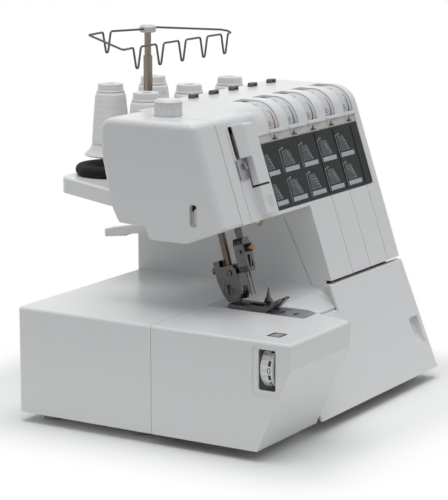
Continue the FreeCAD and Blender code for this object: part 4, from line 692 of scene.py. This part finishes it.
def add_cover_tongue():
    """Left margin of the looper cover, beside the free arm and under the table's sloping front."""
    bm = bmesh.new()
    for left, low, high in ((113.4, COVER_LOW, 40.0), (116.2, 40.0, SCOOP_TOP)):
        outline = [(cover_at(low), low), (cover_at(high), high), (cover_at(high, WALL), high),
                   (cover_at(low, WALL), low)]
        add_loft(bm, [[at(x, y, z) for y, z in outline] for x in (left, COVER_LEFT + 0.02)])
    new_piece("cover_tongue", bm, WHITE, "cover")


def add_scoop_bead():
    """Rounded upper edge of the cover where it is scooped out below the throat."""
    low = SCOOP_TOP - 0.1
    front = cover_at(low) + 0.3
    outline = [(front, low), (front + 0.2, low + 0.7), (front + 0.9, low + 1.05), (front + 7.6, low + 1.05),
               (front + 7.6, low - 1.2), (front + 4.2, low - 1.2)]
    bm = bmesh.new()
    add_loft(bm, [[at(x, y, z) for y, z in outline] for x in (COVER_LEFT + 0.1, 207.8)])
    new_piece("scoop_bead", bm, WHITE, "cover")


def add_head_ramp():
    """Rise of the head's top up to the dial housing, with the round cheek in front of the first dial."""
    left, right = 108.0, DIAL_LEFT + 0.02
    front, back = 135.6, 234.0
    across, along = 18, 40
    bm = bmesh.new()
    loops = []
    for j in range(along + 1):
        y = front + (back - front) * (j / along) ** 1.5
        short = max(0.0, ROLL_MIDDLE - y)
        roll = DIAL_TOP - ROLL_RADIUS + math.sqrt(ROLL_RADIUS ** 2 - short ** 2)
        tail = smooth((back - y) / 10.0)
        loop = []
        for i in range(across + 1):
            x = left + (right - left) * i / across
            rise = max(0.0, roll - HEAD_TOP) * smooth(i / across) * tail
            loop.append(at(x, y, HEAD_TOP - 0.05 + rise))
        loop += [at(right, y, HEAD_TOP - 0.8), at(left, y, HEAD_TOP - 0.8)]
        loops.append(loop)
    add_loft(bm, loops)
    new_piece("head_ramp", bm, WHITE, "machine")


def smooth(share):
    share = min(1.0, max(0.0, share))
    return share * share * (3 - 2 * share)


def add_table_inset():
    """Dark insert with a grey button in the recess of the table's top."""
    floor = TABLE_TOP - 0.6
    bm = bmesh.new()
    frame_line = rounded(21.2, 23.7, 36.8, 37.8, 1.0)
    add_loft(bm, [[at(x, y, floor + h) for x, y in frame_line] for h in (0.02, 0.3)])
    new_piece("inset_frame", bm, BLACK, "table")
    bm = bmesh.new()
    loops = []
    for shrink, h in ((0.0, 0.3), (0.1, 0.42), (0.5, 0.5), (2.0, 0.54)):
        line = rounded(23.6 + shrink, 26.0 + shrink, 34.8 - shrink, 35.6 - shrink, 1.6 - 0.3 * shrink)
        loops.append([at(x, y, floor + h) for x, y in line])
    add_loft(bm, loops)
    new_piece("inset_button", bm, RUBBER, "table")


def add_wheel_ring():
    """Smooth ring on the front half of the stitch length wheel, with its printed scale."""
    x0, y0, z0 = WHEEL_MIDDLE
    radius = WHEEL_RADIUS + 0.06
    steps = 96
    bm = bmesh.new()
    section = ((radius - 1.2, -6.95), (radius, -6.2), (radius, -0.6), (radius - 1.2, -0.6))
    loops = []
    for reach, y in section:
        loops.append([at(x0 - reach * math.cos(math.tau * i / steps), y0 + y,
                         z0 + reach * math.sin(math.tau * i / steps)) for i in range(steps)])
    add_tube(bm, loops)
    new_piece("wheel_ring", bm, WHITE, "stitch_wheel")

    def place(across, round_it):
        angle = round_it / (radius + PRINT_LIFT)
        reach = radius + PRINT_LIFT
        return at(x0 - reach * math.cos(angle), y0 - 3.4 - across, z0 + reach * math.sin(angle))

    bm = bmesh.new()
    length = math.tau * radius
    for k in range(10):
        start = length * k / 10
        add_glyph(bm, str(k % 5), 5.6, lambda u, v, s=start: place(u - 0.4, v + s))
        add_bar(bm, place, -1.5, start + 4.0, 1.4, start + 9.0)
    new_piece("wheel_scale", bm, ink("wheel_ink", (0.02, 0.02, 0.022)), "stitch_wheel")


def add_tube(bm, loops):
    """A closed skin of rings that meets itself at the ends."""
    rings = [[bm.verts.new(point) for point in loop] for loop in loops]
    count = len(rings[0])
    for low, high in zip(rings, rings[1:] + rings[:1]):
        for i in range(count):
            j = (i + 1) % count
            bm.faces.new((low[i], low[j], high[j], high[i]))
    bmesh.ops.recalc_face_normals(bm, faces=bm.faces)


def add_guard_gap():
    """Black pieces along the lower left of the take-up guard and between it and its latch: painted shade of
    the gaps there.
    """
    high = up_front(GUARD_LOW, WING_LOW)
    bm = bmesh.new()
    strip = [(GUARD_LEFT - 1.5, -2.0), (GUARD_LEFT + 0.1, -2.0), (GUARD_LEFT + 0.1, high - 1),
             (GUARD_LEFT - 0.5, high - 1)]
    slot = rounded(GUARD_LEFT + 0.2, -2.05, GUARD_RIGHT - 0.4, -0.05, 0.3, 3)
    for outline, depths in ((strip, (-0.2, 0.25)), (slot, (0.02, GUARD_PROUD - 1.6))):
        add_loft(bm, [[on_front(x, up, proud, GUARD_LOW) for x, up in outline] for proud in depths])
    new_piece("guard_painted_shade", bm, BLACK, "machine")


def add_head_guides():
    """Thread guide under the chin of the head: a beige block with a bright wire clip beside it."""
    bm = bmesh.new()
    block = rounded(119.8, 99.6, 127.4, 106.0, 1.2)
    add_loft(bm, [[at(x, y, chin_at(y) - h) for x, y in block] for h in (-0.3, 5.2)])
    soften(bm, 0.3)
    new_piece("chin_guide", bm, BEIGE, "machine")
    bm = bmesh.new()
    drop, thick = 0.9, 0.9
    strap = rounded(111.0, 101.0, 118.8, 104.0, 0.8)
    add_loft(bm, [[at(x, y, chin_at(y) - drop - h) for x, y in strap] for h in (-1.2, thick)])
    new_piece("chin_clip", bm, STEEL, "machine")


def chin_at(y):
    """Height of the head's sloping underside."""
    return CHIN - (y - CHIN_FRONT) * (CHIN - JAW) / (JAW_FRONT - CHIN_FRONT)


def add_knife():
    """Pointed upper knife that stands beside the needle plate."""
    bm = bmesh.new()
    sections = ((134.4, 97.5, 139.4, 106.5, 114.0), (134.8, 98.5, 138.6, 105.6, 118.5),
                (135.4, 100.4, 137.8, 104.4, 121.0), (136.1, 101.6, 136.9, 102.4, 130.5))
    add_loft(bm, [[at(left, front, z), at(right, front, z), at(right, back, z), at(left, back, z)]
                  for left, front, right, back, z in sections])
    soften(bm, 0.25)
    new_piece("upper_knife", bm, GUN_METAL, "machine")


def add_seams():
    """Fine dark seams at the face cap and take-up recess, and a black sheet at the upper end of the cutter
    slot as painted shade.
    """
    tree = node_tree_of("face_cover", "front_housing")
    bm = bmesh.new()
    heights = [CHIN + 0.6 + 2.0 * i for i in range(49)]
    front = [touch(tree, at(FACE_SEAM + 0.02, -60, z), (0, 1, 0)) for z in heights]
    depths = [136.0 + 5.0 * i for i in range(19)]
    top = [touch(tree, at(FACE_SEAM + 0.02, y, 400), (0, 0, -1)) for y in depths]
    add_ribbon(bm, [hit for hit in front + top if hit], 0.5)
    recess = [touch(tree, at(RECESS_SEAM, -60, z), (0, 1, 0)) for z in heights[:44]]
    add_ribbon(bm, [hit for hit in recess if hit], 0.4)
    new_piece("head_seams", bm, SEAM_INK, "machine")
    # Black sheet in the upper end of the cutter slot: painted shade of the recess
    bm = bmesh.new()
    slot = rounded(128.3, 213.4, 135.7, 221.7, 3.2)
    add_loft(bm, [[at(x, y, z) for y, z in slot] for x in (51.6, 51.98)])
    new_piece("cutter_slot_painted_shade", bm, BLACK, "machine")


def node_tree_of(*names):
    """Search tree over the triangles of some nodes."""
    points = []
    faces = []
    for name in names:
        mesh = nodes[name].data
        start = len(points)
        points += [vertex.co.copy() for vertex in mesh.vertices]
        faces += [[start + i for i in face.vertices] for face in mesh.polygons]
    return BVHTree.FromPolygons(points, faces)


def touch(tree, start, heading):
    """Where a ray meets the nodes of a search tree, with the surface's normal."""
    point, normal, _, _ = tree.ray_cast(start, Vector(heading))
    if point is None:
        return None
    return point, normal if normal.dot(Vector(heading)) < 0 else -normal


def add_ribbon(bm, hits, width):
    """A flat strip that follows points on a surface that run across X."""
    side = Vector((width / 2000, 0, 0))
    rows = []
    for point, normal in hits:
        middle = point + normal * PRINT_LIFT / 1000
        rows.append((bm.verts.new(middle - side), bm.verts.new(middle + side)))
    for low, high in zip(rows, rows[1:]):
        bm.faces.new((low[0], low[1], high[1], high[0]))


def add_plate_slots():
    """Black patches on the front of the needle plate over the loopers' slots, as painted shade of the
    openings.
    """
    bm = bmesh.new()
    for left, front, right, back in PLATE_SLOTS:
        line = rounded(left, front, right, back, 0.9)
        bm.faces.new([bm.verts.new(at(x, y, TABLE_TOP + 0.04)) for x, y in line])
    new_piece("plate_slot_painted_shade", bm, BLACK, "machine")


def add_clamp_screw():
    """Knurled brass thumb screw on the needle clamp."""
    lean = math.radians(16.0)
    axis = Vector((0, -math.cos(lean), math.sin(lean)))
    up = Vector((0, math.sin(lean), math.cos(lean)))
    origin = at(116.0, 103.2, TABLE_TOP)
    middle = origin + (Vector((2.0, 0, 0)) + up * 58.5) / 1000
    bm = bmesh.new()
    loops = []
    steps = 48
    for reach, out in ((3.7, 5.6), (4.0, 6.0), (4.0, 10.0), (3.6, 10.7), (1.2, 10.75)):
        loop = []
        for i in range(steps):
            angle = math.tau * i / steps
            knurl = 0.12 * (i % 2) if reach == 4.0 else 0
            around = Vector((1, 0, 0)) * math.cos(angle) + up * math.sin(angle)
            loop.append(middle + (around * (reach - knurl) + axis * out) / 1000)
        loops.append(loop)
    add_loft(bm, loops)
    new_piece("clamp_screw", bm, BRASS, "needle_carrier")


def add_switch_marks():
    """I and O on the power switch."""
    tree = node_tree_of("power_switch")
    low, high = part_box("power_switch")
    middle = (low + high) / 2
    bm = bmesh.new()
    for text, side in (("I", 1), ("O", -1)):

        def place(u, v, shift=side):
            start = Vector((high.x + 0.05, middle.y + u / 1000, middle.z + (v + 4.0 * shift) / 1000))
            hit = touch(tree, start, (-1, 0, 0))
            return hit[0] + Vector((PRINT_LIFT / 1000, 0, 0))

        add_glyph(bm, text, 3.2, place)
    new_piece("switch_marks", bm, ink("switch_ink", (0.7, 0.7, 0.7)), "switch_rocker")


# Printed marks


def glyph(text, height):
    """Outline of a short text as flat points and faces, centred on its own middle, in millimetres."""
    curve = bpy.data.curves.new("glyph", "FONT")
    curve.body = text
    curve.size = 1.0
    holder = bpy.data.objects.new("glyph", curve)
    scene.collection.objects.link(holder)
    mesh = bpy.data.meshes.new_from_object(holder.evaluated_get(bpy.context.evaluated_depsgraph_get()))
    points = [vertex.co.xy for vertex in mesh.vertices]
    faces = [list(face.vertices) for face in mesh.polygons]
    bpy.data.objects.remove(holder)
    bpy.data.curves.remove(curve)
    bpy.data.meshes.remove(mesh)
    lows = [min(p[k] for p in points) for k in (0, 1)]
    highs = [max(p[k] for p in points) for k in (0, 1)]
    scale = height / (highs[1] - lows[1])
    flat = [tuple((p[k] - (lows[k] + highs[k]) / 2) * scale for k in (0, 1)) for p in points]
    return flat, faces


def add_glyph(bm, text, height, place):
    """A text laid on a surface; place turns flat millimetres into a point."""
    points, faces = glyph(text, height)
    verts = [bm.verts.new(place(u, v)) for u, v in points]
    for face in faces:
        bm.faces.new([verts[i] for i in face])


def add_patch(bm, place, corners):
    bm.faces.new([bm.verts.new(place(u, v)) for u, v in corners])


def add_bar(bm, place, left, low, right, high):
    """An upright rectangle, cut into short lengths so that it follows a round surface."""
    count = max(1, round((high - low) / 1.5))
    step = (high - low) / count
    for i in range(count):
        start = low + step * i
        add_patch(bm, place, [(left, start), (right, start), (right, start + step), (left, start + step)])


def add_stroke(bm, place, start, end, width):
    """A straight line of a given width between two flat points."""
    run = Vector(end) - Vector(start)
    side = Vector((-run.y, run.x)).normalized() * width / 2
    corners = [Vector(start) - side, Vector(end) - side, Vector(end) + side, Vector(start) + side]
    add_patch(bm, place, corners)


DIAL_BANDS = ((0.55, 0.09, 0.045), (0.04, 0.05, 0.08), (0.06, 0.07, 0.065), (0.36, 0.1, 0.3),
              (0.07, 0.08, 0.13))


def dial_surface(node, sink, lift):
    """Flat millimetres on a tension dial: across the dial, and round it from its front."""
    low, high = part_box(node)
    middle = (low + high) / 2
    radius = (high.z - low.z) / 2 - sink / 1000 + lift / 1000

    def place(across, round_it):
        angle = round_it / 1000 / radius
        return Vector((middle.x + across / 1000, middle.y - radius * math.cos(angle),
                       middle.z + radius * math.sin(angle)))

    return place, math.tau * radius * 1000


def add_dial_prints():
    """Numbers, ticks and a coloured wedge scale round each tension dial."""
    figures = ink("dial_figures", (0.12, 0.12, 0.13))
    for i, color in enumerate(DIAL_BANDS, start=1):
        node = f"tension_dial_{i}"
        place, length = dial_surface(node, 0.8, PRINT_LIFT + 0.05)
        bm = bmesh.new()
        steps = 12
        for k in range(10):
            start = length * (k + 0.5) / steps
            add_glyph(bm, str(k), 5.4, lambda u, v, s=start: place(u - 3.2, v + s))
            add_bar(bm, place, 0.4, start - 0.3, 2.2, start + 0.3)
            half_way = start + length / steps / 2
            add_bar(bm, place, 1.0, half_way - 0.2, 2.2, half_way + 0.2)
        new_piece(f"dial_figures_{i}", bm, figures, f"dial_{i}")
        bm = bmesh.new()
        spots = 24
        reach = 0.2 * length
        for k in range(spots):
            start = reach * (k / spots - 0.35)
            width = 3.4 - 2.6 * k / spots
            add_bar(bm, place, 6.4 - width, start, 6.4, start + reach / spots)
        new_piece(f"dial_band_{i}", bm, ink(f"dial_ink_{i}", color), f"dial_{i}")


CELL_LOWS = (34.4, 4.4)
CELL_HEIGHT = 23.0


def panel_place(across, up):
    """Flat millimetres on the chart panel."""
    return on_front(across, up, PRINT_LIFT - PANEL_INSET)


def add_chart():
    """Generic stitch chart on the dark panel: for each setting a scale line, a seam figure and a bar."""
    lines = bmesh.new()
    cloth = bmesh.new()
    bars = bmesh.new()
    for column in range(-1, 4):
        left = slot_x(column) + SLOT_WIDTH
        for row, low in enumerate(CELL_LOWS):
            draw_cell(lines, cloth, bars, left, low, (column + 1 + 2 * row) % 4)
    new_piece("chart_cloth", cloth, ink("chart_cloth_ink", (0.06, 0.068, 0.09), wear=0.4), "machine")
    new_piece("chart_lines", lines, ink("chart_line_ink", (0.42, 0.44, 0.47)), "machine")
    new_piece("chart_bars", bars, ink("chart_bar_ink", (0.62, 0.63, 0.69), wear=0.3), "machine")


def inside_panel(across, up):
    """Flat millimetres on the panel, kept clear of its left edge."""
    return panel_place(max(across, PANEL_LEFT + 1.5), up)


def draw_cell(lines, cloth, bars, left, low, kind):
    """One setting of the chart: scale line with its tick, figure, and a bar of short marks."""
    top = low + CELL_HEIGHT
    if left > PANEL_LEFT:
        add_bar(lines, panel_place, left, low, left + 0.6, top)
        add_stroke(lines, panel_place, (left, top), (left + 6.5, top + 0.8), 0.6)
        add_bar(lines, panel_place, left + 5.2, top + 0.2, left + 6.8, top + 2.2)
        add_bar(lines, panel_place, left + 7.4, top + 0.6, left + 8.6, top + 2.0)
    mark = 3.1
    for k in range(8):
        start = left + 3.0 + (mark + 0.35) * k
        if start > PANEL_LEFT + 1.5:
            add_bar(bars, panel_place, start, low + 0.3 * (k % 2), start + mark, low + 4.6)
    draw_seam(lines, cloth, left + 4, low + 6.6, kind)


def draw_seam(lines, cloth, left, low, kind):
    """A piece of cloth with one of four plain seams."""
    width, height = 12.0, 15.0
    right = left + width
    if right < PANEL_LEFT + 3:
        return
    slant = 6.0
    top = low + height
    patch = [(left, low), (right + 4, low), (right, low + height * 0.55), (right - 2, top), (left, top)]
    add_patch(cloth, inside_panel, patch)
    for k in (0, 3, 4, 5, 6):
        up = low + height * k / 6
        add_stroke(lines, inside_panel, (left, up), (right - 2 + 4 * (6 - k) / 6, up), 0.32)
    for k in range(5):
        along = left + (width - 2) * k / 4
        foot = low + height / 2 if k else low
        add_stroke(lines, inside_panel, (along, foot), (along, top), 0.25)
    for k in range(4 + kind):
        up = low + height * (k + 0.5) / (5 + kind)
        add_stroke(lines, inside_panel, (right - 1 - k * 0.3, up), (right + slant - k, up - 1.4), 0.7)
    if kind % 2:
        add_stroke(lines, inside_panel, (right - 2, top), (right + slant, low), 0.8)
        add_stroke(lines, inside_panel, (right + 1, top), (right + slant + 2.4, low), 0.5)
    else:
        add_stroke(lines, inside_panel, (right - 1, top), (right + 2, low + height * 0.5), 0.8)
        add_stroke(lines, inside_panel, (right + 2, low + height * 0.5), (right + slant, low), 0.8)


def add_slot_liners():
    """Black sheets behind the three thread slots in the panel, as painted shade of the openings."""
    bm = bmesh.new()
    top = up_front(PANEL_LOW, PANEL_HIGH)
    half = SLOT_WIDTH / 2 - 0.05
    for column in (2, 3, 4):
        x = slot_x(column)
        corners = [(x - half, 2.8), (x + half, 2.8), (x + half, top - 2.1), (x - half, top - 2.1)]
        add_patch(bm, lambda u, v: on_front(u, v, -PANEL_INSET - 0.7), corners)
    new_piece("slot_painted_shade", bm, BLACK, "machine")


def add_ledge():
    """Facing of the ledge under the dials, between the thread hooks: a beige tint, made darker than the
    housing as painted shade of the recess.
    """
    bm = bmesh.new()
    low = 0.5
    high = up_front(PANEL_HIGH, LEDGE_HIGH) - 0.5
    stops = [PANEL_LEFT + 0.4] + [slot_x(i) for i in range(5)] + [PANEL_RIGHT - 0.4]
    for start, end in zip(stops, stops[1:]):
        left = start if start == stops[0] else start + 2.7
        right = end if end == stops[-1] else end - 2.7
        for face_low, face_high, sink in ((low, high, 0.0), (low + 0.6, high - 0.6, -0.25)):
            corners = [(left, face_low), (right, face_low), (right, face_high), (left, face_high)]
            add_patch(bm, lambda u, v, s=sink: on_front(u, v, 0.1 - LEDGE_DEPTH - s, PANEL_HIGH), corners)
    new_piece("ledge_facing_painted_shade", bm, LEDGE_TINT_AND_SHADE, "machine")


add_camera()
add_light()
add_floor()
paint_nodes()
add_foam_discs()
add_cones()
add_throat_cheek()
add_throat_fillet()
add_cover_tongue()
add_scoop_bead()
add_head_ramp()
add_table_inset()
add_wheel_ring()
add_guard_gap()
add_head_guides()
add_knife()
add_seams()
add_plate_slots()
add_clamp_screw()
add_switch_marks()
add_dial_prints()
add_chart()
add_slot_liners()
add_ledge()
